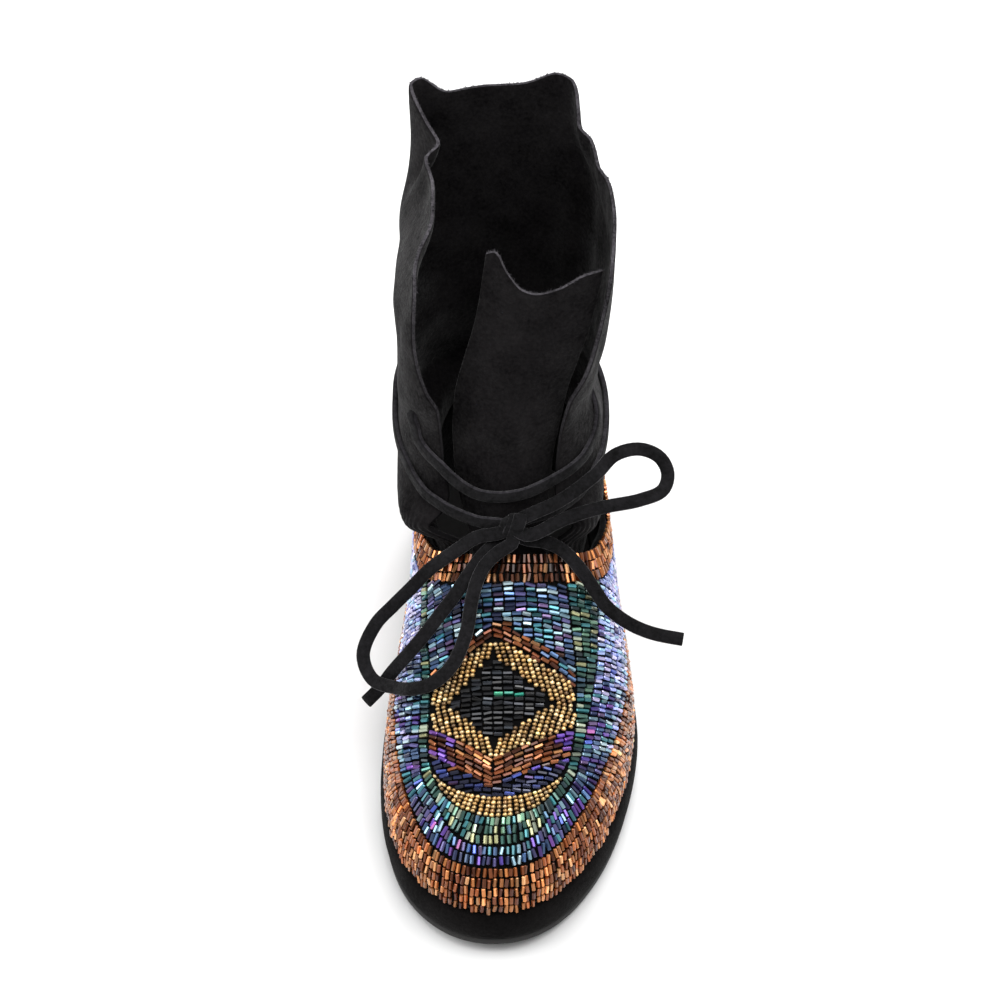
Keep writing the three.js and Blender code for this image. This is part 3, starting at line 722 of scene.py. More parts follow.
def tube_faces(rings: int, sides: int) -> tuple[Array, Array]:
    """Faces of a tube whose corners run round each ring.

    Args:
        rings: number of rings.
        sides: corners of a ring.

    Returns:
        Quads of the side, ring by ring, and the two end faces.
    """
    i = np.arange(rings - 1)[:, None] * sides
    k = np.arange(sides)
    n = (k + 1) % sides
    quads = np.stack([i + k, i + n, i + sides + n, i + sides + k], axis=-1).reshape(-1, 4)
    return quads, np.stack([k[::-1], (rings - 1) * sides + k])


def add_wall(piece: Piece, thickness: float, levels: int, rim: bool) -> None:
    """Gives a surface its wall towards the inside.

    Args:
        piece: the surface.
        thickness: wall in millimetres.
        levels: smoothing levels after it.
        rim: whether the cut edge takes the piece's second material.
    """
    wall = piece.modifiers.new("wall", "SOLIDIFY")
    wall.thickness = thickness * MM
    wall.offset = -1.0
    wall.use_even_offset = True
    wall.material_offset_rim = 1 if rim else 0
    if levels:
        soft = piece.modifiers.new("soft_edges", "SUBSURF")
        soft.levels = levels
        soft.render_levels = levels


def make_sheet(name: str, grid: Array, wall: float, finishes: Finishes) -> Piece:
    """Makes a soft sheet of shaft suede with raw edges.

    Args:
        name: the piece's name.
        grid: its outside by column, row and axis.
        wall: its thickness.
        finishes: the boot's materials.

    Returns:
        The piece.
    """
    faces = [grid_faces(*grid.shape[:2], False)]
    materials = [finishes.shaft, finishes.raw_edge]
    piece = make_piece(name, grid.reshape(-1, 3), faces, materials)
    add_wall(piece, wall, 1, True)
    return piece


@dataclass(frozen=True)
class Fuzz:
    """Loose fibres that stand on a raw suede edge, drawn thicker than real ones so that they show."""

    finishes: Finishes
    per_mm: float = 4.0
    longest: float = 1.2
    shortest_share: float = 0.2
    radius: float = 0.13
    root: float = 0.25
    spread: float = 0.5
    wall_shares: tuple[float, float] = (0.15, 0.85)
    seed: int = 11

    def build(self, name: str, edge: Array, out: Array, through: Array, wall: float) -> None:
        """Makes one piece of many spikes, each of three sides and a base.

        Args:
            name: the piece's name.
            edge: points along the edge.
            out: directions at them away from the sheet.
            through: directions at them through the sheet.
            wall: the sheet's thickness.
        """
        rng = np.random.default_rng(self.seed)
        lengths = run_lengths(edge)
        count = int(lengths[-1] * self.per_mm)
        at = rng.uniform(0, lengths[-1], count)
        foot, away, depth = (at_lengths(at, lengths, v) for v in (edge, unit(out), unit(through)))
        foot = foot + depth * rng.uniform(*self.wall_shares, (count, 1)) * wall - away * self.root
        lean = unit(away + rng.normal(0, self.spread, (count, 3)))
        reach = self.longest * rng.uniform(self.shortest_share, 1, (count, 1))
        tip = foot + lean * (self.root + reach)
        side = unit(np.cross(lean, rng.normal(0, 1, (count, 3))))
        other = np.cross(lean, side)
        turn = full_turn(3)[:, None]
        ring = np.cos(turn) * side[:, None] + np.sin(turn) * other[:, None]
        base = foot[:, None] + self.radius * ring
        points = np.concatenate([base, tip[:, None]], axis=1).reshape(-1, 3)
        spike = np.array([[0, 1, 3], [1, 2, 3], [2, 0, 3], [2, 1, 0]])
        faces = (4 * np.arange(count)[:, None, None] + spike).reshape(-1, 3)
        make_piece(name, points, [faces], [self.finishes.raw_edge], smooth=False)


@dataclass(frozen=True)
class Sole:
    """Covered midsole and thin outsole."""

    form: FootForm
    finishes: Finishes
    columns: int = 240

    def build(self) -> None:
        """Makes both pieces and dresses the insole's solid."""
        form, finishes = self.form, self.finishes
        bottom = form.outsole_thickness + form.seam_gap
        height = form.midsole_top - bottom
        midsole = self._body("midsole_cover", MIDSOLE_SIDE, bottom, height, finishes.cover)
        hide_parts("midsole")
        outsole = self._body(
            "outsole_tread", OUTSOLE_SIDE, 0.0, form.outsole_thickness, finishes.rubber
        )
        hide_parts("outsole")
        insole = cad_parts["insole"]
        insole.data.materials.clear()
        insole.data.materials.append(finishes.insole)

    def _body(
        self,
        name: str,
        side: Table,
        bottom: float,
        height: float,
        material: bpy.types.Material,
    ) -> Piece:
        """One layer: a side profile carried round the outline, closed above and below.

        Args:
            name: the piece's name.
            side: rows of height share and inset.
            bottom: the layer's lower face over the underside.
            height: the layer's height.
            material: its material.

        Returns:
            The piece.
        """
        turn = full_turn(self.columns)
        rows = len(side["up"])
        x, y, from_toe = self.form.outline(turn[:, None], side["inset"][None, :])
        from_toe = np.broadcast_to(from_toe, x.shape)
        z = self.form.floor_lift(from_toe) + bottom + side["up"][None, :] * height
        points = np.stack([x, y, z], axis=-1).reshape(-1, 3)
        half = self.columns // 2
        i = np.arange(1, half - 1)
        strip = np.stack([i, i + 1, self.columns - i - 1, self.columns - i], axis=-1) * rows
        tips = np.array([[0, 1, self.columns - 1], [half - 1, half, half + 1]]) * rows
        top = rows - 1
        faces = [
            np.concatenate([grid_faces(self.columns, rows, True), strip[:, ::-1], strip + top]),
            np.concatenate([tips[:, ::-1], tips + top]),
        ]
        return make_piece(name, points, faces, [material])


@dataclass(frozen=True)
class Upper:
    """Suede moccasin upper under the beads."""

    form: FootForm
    finishes: Finishes
    columns: int = 220
    wall: float = 2.0

    def build(self) -> None:
        """Makes the upper as a wall whose outside follows every second sample of the rays."""
        grid = self.form.rays(full_turn(self.columns))[:, ::2]
        faces = [grid_faces(self.columns, grid.shape[1], True)]
        suede = [self.finishes.upper]
        piece = make_piece("upper_suede", grid.reshape(-1, 3), faces, suede)
        add_wall(piece, self.wall, 0, False)
        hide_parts("upper")


SHAFT_SECTIONS = Table(
    "z front back inner outer square_front square_back",
    (58, 9.4, 115.2, -30.4, 30.4, 3.8, 2.6), (70, 9.4, 115.4, -31, 31, 3.8, 2.6),
    (76, 10, 115.4, -38.6, 34.4, 5, 2.6), (81, 10.8, 115, -43.2, 36, 6, 2.5),
    (86, 12, 114.3, -43.1, 36.3, 3.8, 2.45), (90, 13, 113.8, -42.8, 36.4, 2.75, 2.4),
    (98, 15.5, 113.2, -43, 36.2, 2.4, 2.3), (110, 18, 113.2, -43.8, 35, 2.4, 2.4),
    (125, 20, 113.5, -43.4, 33.8, 2.6, 2.6), (137, 20, 114.2, -43.4, 34.4, 2.85, 2.85),
    (150, 20, 115, -43.6, 36.8, 3.1, 3.1), (180, 20, 117, -44.2, 39, 3.6, 3.6),
    (225, 24, 118.5, -43, 39.4, 3.9, 3.9),
)
SLIT = Table(
    "z outer inner",
    (60, 15.4, 15.6), (78, 17, 16.8), (86, 20.8, 19.8), (94, 25.3, 24.3), (112, 31, 28),
    (136, 37, 28), (143, 42, 36), (156, 51, 43), (183, 62, 47), (200, 64, 50),
)
COLLAR = Table(
    "turn rim push",
    (64, 200, 1.5), (77, 203, 0.5), (88, 204, 0), (97, 205, -5.5), (112, 208, -7), (126, 211, -10),
    (140, 215, -7), (157, 221, 0), (167, 222, 1), (180, 217, 0), (196, 215.5, -1),
    (214, 221.5, 3), (222, 220.5, 3.5),
    (232, 212, -8), (241, 207, -15), (250, 202, -11), (270, 201, -14), (290, 199, -9),
    (310, 196, -3),
)
SHAFT_CREASES = Table(
    "turn z lean long wide deep",
    (285, 150, 70, 30, 6, 1.6), (262, 165, 80, 34, 7, 1.4), (240, 140, 62, 34, 8, 1.6),
    (300, 118, 30, 22, 5, 1.2), (272, 112, 12, 30, 5, 0.5), (225, 112, -10, 34, 6, 1.4),
    (180, 110, 6, 40, 6, 1.4), (140, 112, 10, 34, 6, 1.5), (100, 114, -14, 30, 6, 1.5),
    (70, 122, -34, 26, 5, 1.3), (110, 158, 78, 34, 7, 1.4), (150, 165, 84, 38, 8, 1.6),
    (195, 168, 88, 40, 9, 1.5), (65, 165, 74, 30, 7, 1.2),
)


def crease_depth(creases: Table, across: Array, along: Array, pitch: float) -> Array:
    """Depth of soft creases, each a bell -d exp(-(u/l)^2 - (v/w)^2) along a leaning line.

    Args:
        creases: rows of place, lean in degrees, half length, half width and depth.
        across: places across, in the table's first column's unit.
        along: places up.
        pitch: millimetres to a unit across.

    Returns:
        Signed depths.
    """
    first, second = list(creases.columns)[:2]
    lean = np.radians(creases["lean"])
    a = (across[..., None] - creases[first]) * pitch
    b = along[..., None] - creases[second]
    u = a * np.cos(lean) + b * np.sin(lean)
    v = b * np.cos(lean) - a * np.sin(lean)
    bell = np.exp(-((u / creases["long"]) ** 2) - (v / creases["wide"]) ** 2)
    return -(creases["deep"] * bell).sum(-1)


@dataclass(frozen=True)
class Shaft:
    """Soft suede shaft, open in front, gathered into the beaded rim, with a wavy raw collar."""

    form: FootForm
    finishes: Finishes
    columns: int = 190
    rows: int = 64
    wall: float = 1.8
    tuck: float = 9.0
    rim_lowest: float = 67.5
    rim_blend: float = 40.0
    push_reach: float = 36.0
    pleats: int = 44
    pleat_depth: float = 0.9
    pleat_foot: float = -2.0
    pleat_start: float = 4.0
    pleat_reach: float = 20.0
    pleat_sway: float = 2.1
    sways: int = 9
    back_share: float = 0.2
    front_from: tuple[float, float] = (-0.2, 0.6)
    crease_start: float = 16.0
    radius: float = 44.0
    fuzz_low: float = 135.0

    def build(self) -> None:
        """Makes the shaft from its sections, with creases and gathers pressed in."""
        around = np.linspace(0, 1, self.columns)[:, None]
        up = np.linspace(0, 1, self.rows)[None, :]
        turn = COLLAR["turn"][0] + (COLLAR["turn"][-1] - COLLAR["turn"][0]) * around
        rim = COLLAR.line("turn", "rim")(turn)
        lowest = np.full_like(around, SHAFT_SECTIONS["z"][0])
        beaded = self.form.rim_height(self._place(around, lowest, 0.0)[1])
        foot = beaded - self.tuck
        z = foot + (rim - foot) * up
        lift = (beaded - self.rim_lowest) * (1 - smoothstep(z, beaded, beaded + self.rim_blend))
        x, y, angle = self._place(around, z, lift)
        push = COLLAR.line("turn", "push")(turn) * smoothstep(z, rim - self.push_reach, rim)
        grid = np.stack([x + push * np.sin(angle), y - push * np.cos(angle), z], axis=-1)
        depth = crease_depth(SHAFT_CREASES, np.degrees(angle), z, np.pi / 180 * self.radius)
        depth *= smoothstep(z, beaded, beaded + self.crease_start)
        depth -= self._gathers(around, angle, z - beaded)
        grid = grid + grid_normals(grid, False) * depth[..., None]
        piece = make_sheet("shaft_suede", grid, self.wall, self.finishes)
        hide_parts("shaft")
        normals = grid_normals(grid, False)
        edge = np.concatenate([grid[0], grid[1:-1, -1], grid[-1, ::-1]])
        inside = np.concatenate([grid[1], grid[1:-1, -2], grid[-2, ::-1]])
        through = -np.concatenate([normals[0], normals[1:-1, -1], normals[-1, ::-1]])
        high = edge[:, 2] > self.fuzz_low
        edge, out, through = edge[high], (edge - inside)[high], through[high]
        Fuzz(self.finishes).build("collar_fibres", edge, out, through, self.wall)

    def _gathers(self, around: Array, angle: Array, over: Array) -> Array:
        """Depth of the pleats over the beaded rim, deepest in front and swaying along it.

        Args:
            around: share of the way round from the slit's outer edge.
            angle: angle from straight ahead.
            over: height over the rim.

        Returns:
            Depths.
        """
        gather = smoothstep(over, self.pleat_foot, self.pleat_start)
        gather *= 1 - smoothstep(over, self.pleat_start, self.pleat_reach)
        sway = self.pleat_sway * np.sin(self.sways * around * np.pi)
        wave = 0.5 - 0.5 * np.cos(2 * np.pi * self.pleats * around + sway)
        in_front = smoothstep(np.cos(angle), *self.front_from)
        gather *= self.back_share + (1 - self.back_share) * in_front
        return self.pleat_depth * gather * wave

    def _place(self, around: Array, z: Array, lift: Array | float) -> tuple[Array, Array, Array]:
        """Plan place on a superellipse section, whose front and back corners differ in squareness.

        Args:
            around: share of the way round from the slit's outer edge.
            z: heights.
            lift: how far the sections are raised there.

        Returns:
            Place across, place along and the angle from straight ahead.
        """
        outer_edge = SLIT.line("z", "outer")(z)
        inner_edge = 360 - SLIT.line("z", "inner")(z)
        angle = np.radians(outer_edge + (inner_edge - outer_edge) * around)
        front, back, inner, outer, ahead, behind = (
            SHAFT_SECTIONS.line("z", name)(z - lift)
            for name in ("front", "back", "inner", "outer", "square_front", "square_back")
        )
        square = np.where(np.cos(angle) > 0, ahead, behind)
        x = (inner + outer) / 2 + (outer - inner) / 2 * signed_power(np.sin(angle), 2 / square)
        y = (front + back) / 2 - (back - front) / 2 * signed_power(np.cos(angle), 2 / square)
        return x, y, angle


TONGUE = Table(
    "up x y z half_width curl",
    (0, 1, -8, 72.6, 14, 3.4), (11, 0.5, 2, 75.8, 13.6, 5), (20, -0.5, 9, 82.6, 14.6, 8.3),
    (32, -2, 14.5, 93.6, 17, 10.3), (46, -2.5, 18.8, 106.5, 19, 10.2), (76, 0, 26, 135.5, 21.3, 9.8),
    (94, 4.3, 30, 153, 21.8, 7.8), (112, 9, 34, 171, 22, 6), (142, 13.4, 39, 200.5, 22.4, 4),
)
TONGUE_TOP = Table(
    "across up",
    (-1, 140.5), (-0.86, 142), (-0.62, 134), (-0.3, 126.5), (-0.05, 125), (0.3, 127), (0.7, 132),
    (1, 133),
)
TONGUE_CREASES = Table(
    "across up lean long wide deep",
    (-0.35, 62, 76, 26, 5, 0.9), (0.3, 78, 96, 30, 6, 0.9), (0.0, 104, 84, 22, 6, 0.7),
    (0.65, 52, 110, 18, 4, 0.8), (-0.05, 54, 0, 15, 7, 2.2),
)


@dataclass(frozen=True)
class Tongue:
    """Suede tongue, a strip whose edges curl back, with a raw top edge."""

    finishes: Finishes
    columns: int = 44
    rows: int = 90
    wall: float = 1.8
    crease_unit: float = 20.0
    fibres_per_mm: float = 7.0

    def build(self) -> None:
        """Makes the tongue along its middle line."""
        across = np.linspace(-1, 1, self.columns)[:, None]
        up = TONGUE_TOP.line("across", "up")(across) * np.linspace(0, 1, self.rows)[None, :]
        x, y, z, half_width, curl = (
            TONGUE.line("up", name) for name in ("x", "y", "z", "half_width", "curl")
        )
        slant = np.arctan2(z(up + 1) - z(up - 1), y(up + 1) - y(up - 1))
        back = curl(up) * across**2
        grid = np.stack(
            [
                x(up) + across * half_width(up),
                y(up) + back * np.sin(slant),
                z(up) - back * np.cos(slant),
            ],
            axis=-1,
        )
        places = np.broadcast_to(across, up.shape)
        depth = crease_depth(TONGUE_CREASES, places, up, self.crease_unit)
        grid = grid + grid_normals(grid, False) * depth[..., None]
        piece = make_sheet("tongue_suede", grid, self.wall, self.finishes)
        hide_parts("tongue")
        top, out = grid[:, -1], grid[:, -1] - grid[:, -2]
        through = -grid_normals(grid, False)[:, -1]
        fuzz = Fuzz(self.finishes, self.fibres_per_mm)
        fuzz.build("tongue_fibres", top, out, through, self.wall)


class Strings(NamedTuple):
    """Lines over the upper, with surface normals and lengths at their points."""

    points: Array
    normals: Array
    lengths: Array

    @classmethod
    def round_foot(cls, points: Array) -> "Strings":
        """Close-set lines round the foot.

        Args:
            points: points by line, sample and axis.

        Returns:
            The lines, whose first normals are those of the next points.
        """
        normals = grid_normals(points, True)
        normals[:, 0] = normals[:, 1]
        return cls(points, normals, run_lengths(points))

    def kept(self, chosen: Array) -> "Strings":
        """Only the lines that are chosen."""
        return Strings(*(values[chosen] for values in self))

    def at(self, line: Array, place: Array) -> tuple[Array, Array, Array]:
        """Finds places along lines.

        Args:
            line: the line's number for each place.
            place: the place's length along it.

        Returns:
            Points, unit normals and unit directions.
        """
        lengths = self.lengths[line]
        j = np.clip((lengths <= place[:, None]).sum(axis=1) - 1, 0, lengths.shape[1] - 2)
        first, last = self.points[line, j], self.points[line, j + 1]
        low, high = self.lengths[line, j], self.lengths[line, j + 1]
        share = ((place - low) / np.maximum(high - low, TINY))[:, None]
        normal = self.normals[line, j]
        normal = unit(normal + share * (self.normals[line, j + 1] - normal))
        return first + share * (last - first), normal, unit(last - first)


class Beads(NamedTuple):
    """Beads on their strings: middles, directions, lengths and each one's string."""

    middle: Array
    along: Array
    normal: Array
    length: Array
    string: Array

    def kept(self, mask: Array) -> "Beads":
        """Only the beads that a mask marks."""
        return Beads(*(values[mask] for values in self))

    @staticmethod
    def joined(parts: Sequence["Beads"]) -> "Beads":
        """All beads of several lots."""
        return Beads(*(np.concatenate(values) for values in zip(*parts)))


@dataclass(frozen=True)
class BeadStyle:
    """One kind of bead and how it is strung."""

    length: float
    radius: float
    pitch: float
    sides: int
    profile: tuple[tuple[float, float], ...]
    gap: float = 0.15
    lift: float = 1.2
    lift_vary: float = 0.08
    vary: float = 0.07
    tilt: float = 0.085
    stray: float = 0.17
    ragged: float = 0.4
    least: float = 0.6

    def fits(self, room: Array) -> Array:
        """Whether lengths of string have room for a bead."""
        return room > self.least * self.length

    def thread(self, lines: Strings, low: Array, high: Array, rng: Random) -> Beads:
        """Strings whole beads end to end along lines, drawn out or closed up to fill them.

        Args:
            lines: the lines.
            low: where each line's beads start, as a length.
            high: where they end.
            rng: source of the small irregularities.

        Returns:
            The beads.
        """
        start = low + rng.uniform(-self.ragged, self.ragged, len(low))
        count = np.maximum(1, np.round((high - start) / (self.length + self.gap)).astype(int))
        step = (high - start) / count
        number = np.arange(count.max())
        middle = start[:, None] + (number + 0.5) * step[:, None]
        string, at = np.nonzero(number < count[:, None])
        point, normal, along = lines.at(string, middle[string, at])
        across = np.cross(normal, along)
        shift = rng.normal(0, self.stray, (len(string), 1))
        raised = self.lift + rng.normal(0, self.lift_vary, (len(string), 1))
        point = point + across * shift + normal * raised
        tilt = rng.normal(0, self.tilt, (len(string), 2))
        along = unit(along + across * tilt[:, :1] + normal * tilt[:, 1:])
        shrink = 1 - np.abs(rng.normal(0, self.vary, len(string)))
        return Beads(point, along, normal, (step[string] - self.gap) * shrink, string)

    def mesh(self, beads: Beads, rng: Random) -> tuple[Array, list[Array]]:
        """Bead meshes: a ring of corners for each profile row, at middle + l p along + r q out.

        Args:
            beads: the beads.
            rng: source of each bead's roll.

        Returns:
            Points and faces by number of corners.
        """
        n, rings, sides = len(beads.length), len(self.profile), self.sides
        place, reach = np.array(self.profile).T
        across = unit(np.cross(beads.normal, beads.along))
        out = np.cross(beads.along, across)
        angle = rng.uniform(0, 2 * np.pi, n)[:, None] + full_turn(sides)
        ring = np.cos(angle)[..., None] * across[:, None] + np.sin(angle)[..., None] * out[:, None]
        points = (
            beads.middle[:, None, None]
            + (beads.length[:, None] * place)[:, :, None, None] * beads.along[:, None, None]
            + (self.radius * reach)[None, :, None, None] * ring[:, None]
        )
        start = (np.arange(n) * rings * sides)[:, None, None]
        faces = [(start + f).reshape(-1, f.shape[1]) for f in tube_faces(rings, sides)]
        return points.reshape(-1, 3), faces


BUGLE = BeadStyle(3.7, 0.78, 2.05, 6, ((-0.5, 0.72), (-0.43, 1.0), (0.43, 1.0), (0.5, 0.72)))
SEED = BeadStyle(
    1.55, 0.98, 2.12, 8, ((-0.5, 0.5), (-0.3, 0.92), (0.0, 1.0), (0.3, 0.92), (0.5, 0.5)),
    gap=0.12, tilt=0.03, stray=0.12, ragged=0.3,
)


class Palette:
    """Bead colours with their shares in the mix; the palest are partly real pale beads and partly
    painted glints.
    """

    # Spread of each bead's brightness: partly real tone, partly painted glint and shade.
    spread = 0.36

    def __init__(self, *shares: tuple[str, float]) -> None:
        """Keeps the colours.

        Args:
            shares: sRGB hex codes and weights.
        """
        self.colors = np.array([linear(code)[:3] for code, _ in shares])
        weights = np.array([weight for _, weight in shares], float)
        self.weights = weights / weights.sum()

    def pick(self, count: int, rng: Random) -> Array:
        """Colours for beads, each a little lighter or darker than the mix, partly as real tone and
        partly as painted glint and shade.
        """
        chosen = self.colors[rng.choice(len(self.colors), count, p=self.weights)]
        return np.clip(chosen * np.exp(rng.normal(0, self.spread, (count, 1))), 0, 1)


# The palest colours in these palettes stand partly for real pale beads and partly for painted glints.
COPPER = Palette(
    ("#D29A68", 2), ("#BE7E4E", 3), ("#A66838", 5), ("#925229", 5), ("#7A401E", 4), ("#602E12", 3),
    ("#481E0A", 2),
)
RUST = Palette(("#A87448", 2), ("#88502C", 4), ("#6C381C", 4), ("#502612", 3), ("#3A1A0B", 3))
# Darker copper, used towards the middle of the throat band.
DEEP_COPPER = Palette(("#8E6440", 2), ("#6E4226", 4), ("#562E18", 4), ("#40200F", 3), ("#2E1409", 3))
GOLD = Palette(("#CFB486", 3), ("#BC9C68", 5), ("#9C7A48", 4), ("#745836", 2))
GREEN = Palette(
    ("#42645A", 4), ("#2E4E48", 4), ("#346E74", 3), ("#B4C0AA", 2), ("#729A82", 2), ("#22343A", 3),
    ("#92926C", 3), ("#4C6880", 1),
)
BLUE = Palette(
    ("#344A6C", 4), ("#465E82", 4), ("#7C9CAC", 3), ("#504C78", 2), ("#222844", 3), ("#5E4C70", 2),
    ("#A8BEC6", 2), ("#386E78", 3),
)
LILAC = Palette(
    ("#ACA6CE", 4), ("#96A8D8", 4), ("#868EC4", 3), ("#C4C0E2", 3), ("#7A80B8", 2), ("#94BAD2", 2),
)
PURPLE = Palette(("#5A3E8C", 4), ("#74489A", 3), ("#3A2C70", 3), ("#4A5CB0", 2), ("#96588F", 1))
NAVY = Palette(("#1C2038", 4), ("#232A50", 3), ("#14162A", 3), ("#34407C", 2), ("#4A3468", 1))
BLACK = Palette(("#15161A", 6), ("#1E2026", 3), ("#0C0C0E", 3), ("#2C3036", 1))
JADE = Palette(("#3C9C78", 3), ("#8FD8B4", 2), ("#1F6A5A", 2), ("#2C3036", 2))


LANES = Table(
    "from_toe copper blue",
    (0, 17.5, 21.8), (15, 18.2, 23.2), (35, 19.8, 26), (50, 21, 28.5), (66, 21.8, 32),
    (85, 22.4, 37), (105, 22.3, 42), (125, 21.7, 45), (150, 21, 47), (250, 20, 50),
)


class Diamond(NamedTuple):
    """Gold diamond on the apron, in run up the vamp and in pattern units across from its axis."""

    axis: float = -6.4
    inner_unit: float = 0.83
    outer_unit: float = 1.13
    middle: float = 86.3
    outer_long: float = 24.9
    outer_slope: float = 0.6
    outer_wide: float = 27.0
    inner_long: float = 17.6
    inner_slope: float = 0.86
    lean: float = 0.25
    round_off: float = 2.0

    def place(self, across: Array) -> Array:
        """Place across the boot of pattern places, which are wider on the outer side."""
        return self.axis + across * np.where(across > 0, self.outer_unit, self.inner_unit)

    def across(self, x: Array) -> Array:
        """Pattern places of places across the boot."""
        return (x - self.axis) / np.where(x > self.axis, self.outer_unit, self.inner_unit)

    def fall(self, across: Array) -> Array:
        """How far rows along the edge fall away from their middle, s (sqrt(a^2 + c^2) - c)."""
        return self.outer_slope * (np.sqrt(across**2 + self.round_off**2) - self.round_off)

    def in_outer(self, across: Array, run: Array) -> Array:
        """Whether places lie inside the gold's outer edge."""
        room = np.abs(run - self.middle) - self.outer_long + self.outer_slope * np.abs(across)
        return (room < 0) & (np.abs(across) < self.outer_wide)

    def in_inner(self, across: Array, run: Array) -> Array:
        """Whether places lie inside the dark middle."""
        return self.inner_long - self.inner_slope * np.abs(across) - np.abs(run - self.middle) > 0


APRON = Table(
    "from_toe center half_width",
    (24, -5.2, 26.6), (45, -4.2, 26.8), (85, -2.4, 26.8), (105, -3.9, 26.4), (122, -4.6, 25.6),
)


class ColorPlan(NamedTuple):
    """Where bead colours change, in millimetres, and their shares in a mix."""

    bright_throat: tuple[float, float] = (10.0, 26.0)
    lilac: tuple[float, float] = (-75.0, 5.0)
    purple_share: float = 0.25
    warm_above: float = 4.0
    warm_below: float = 8.5
    warm_fade: float = 4.0
    cool_sides: tuple[float, float] = (14.0, 25.0)
    cool_share: float = 0.7
    deep: tuple[float, float] = (8.0, 14.0)
    jade_share: float = 0.8
    jade_wide: float = 7.0
    jade_high: float = 3.5
    jade_up: float = 2.0


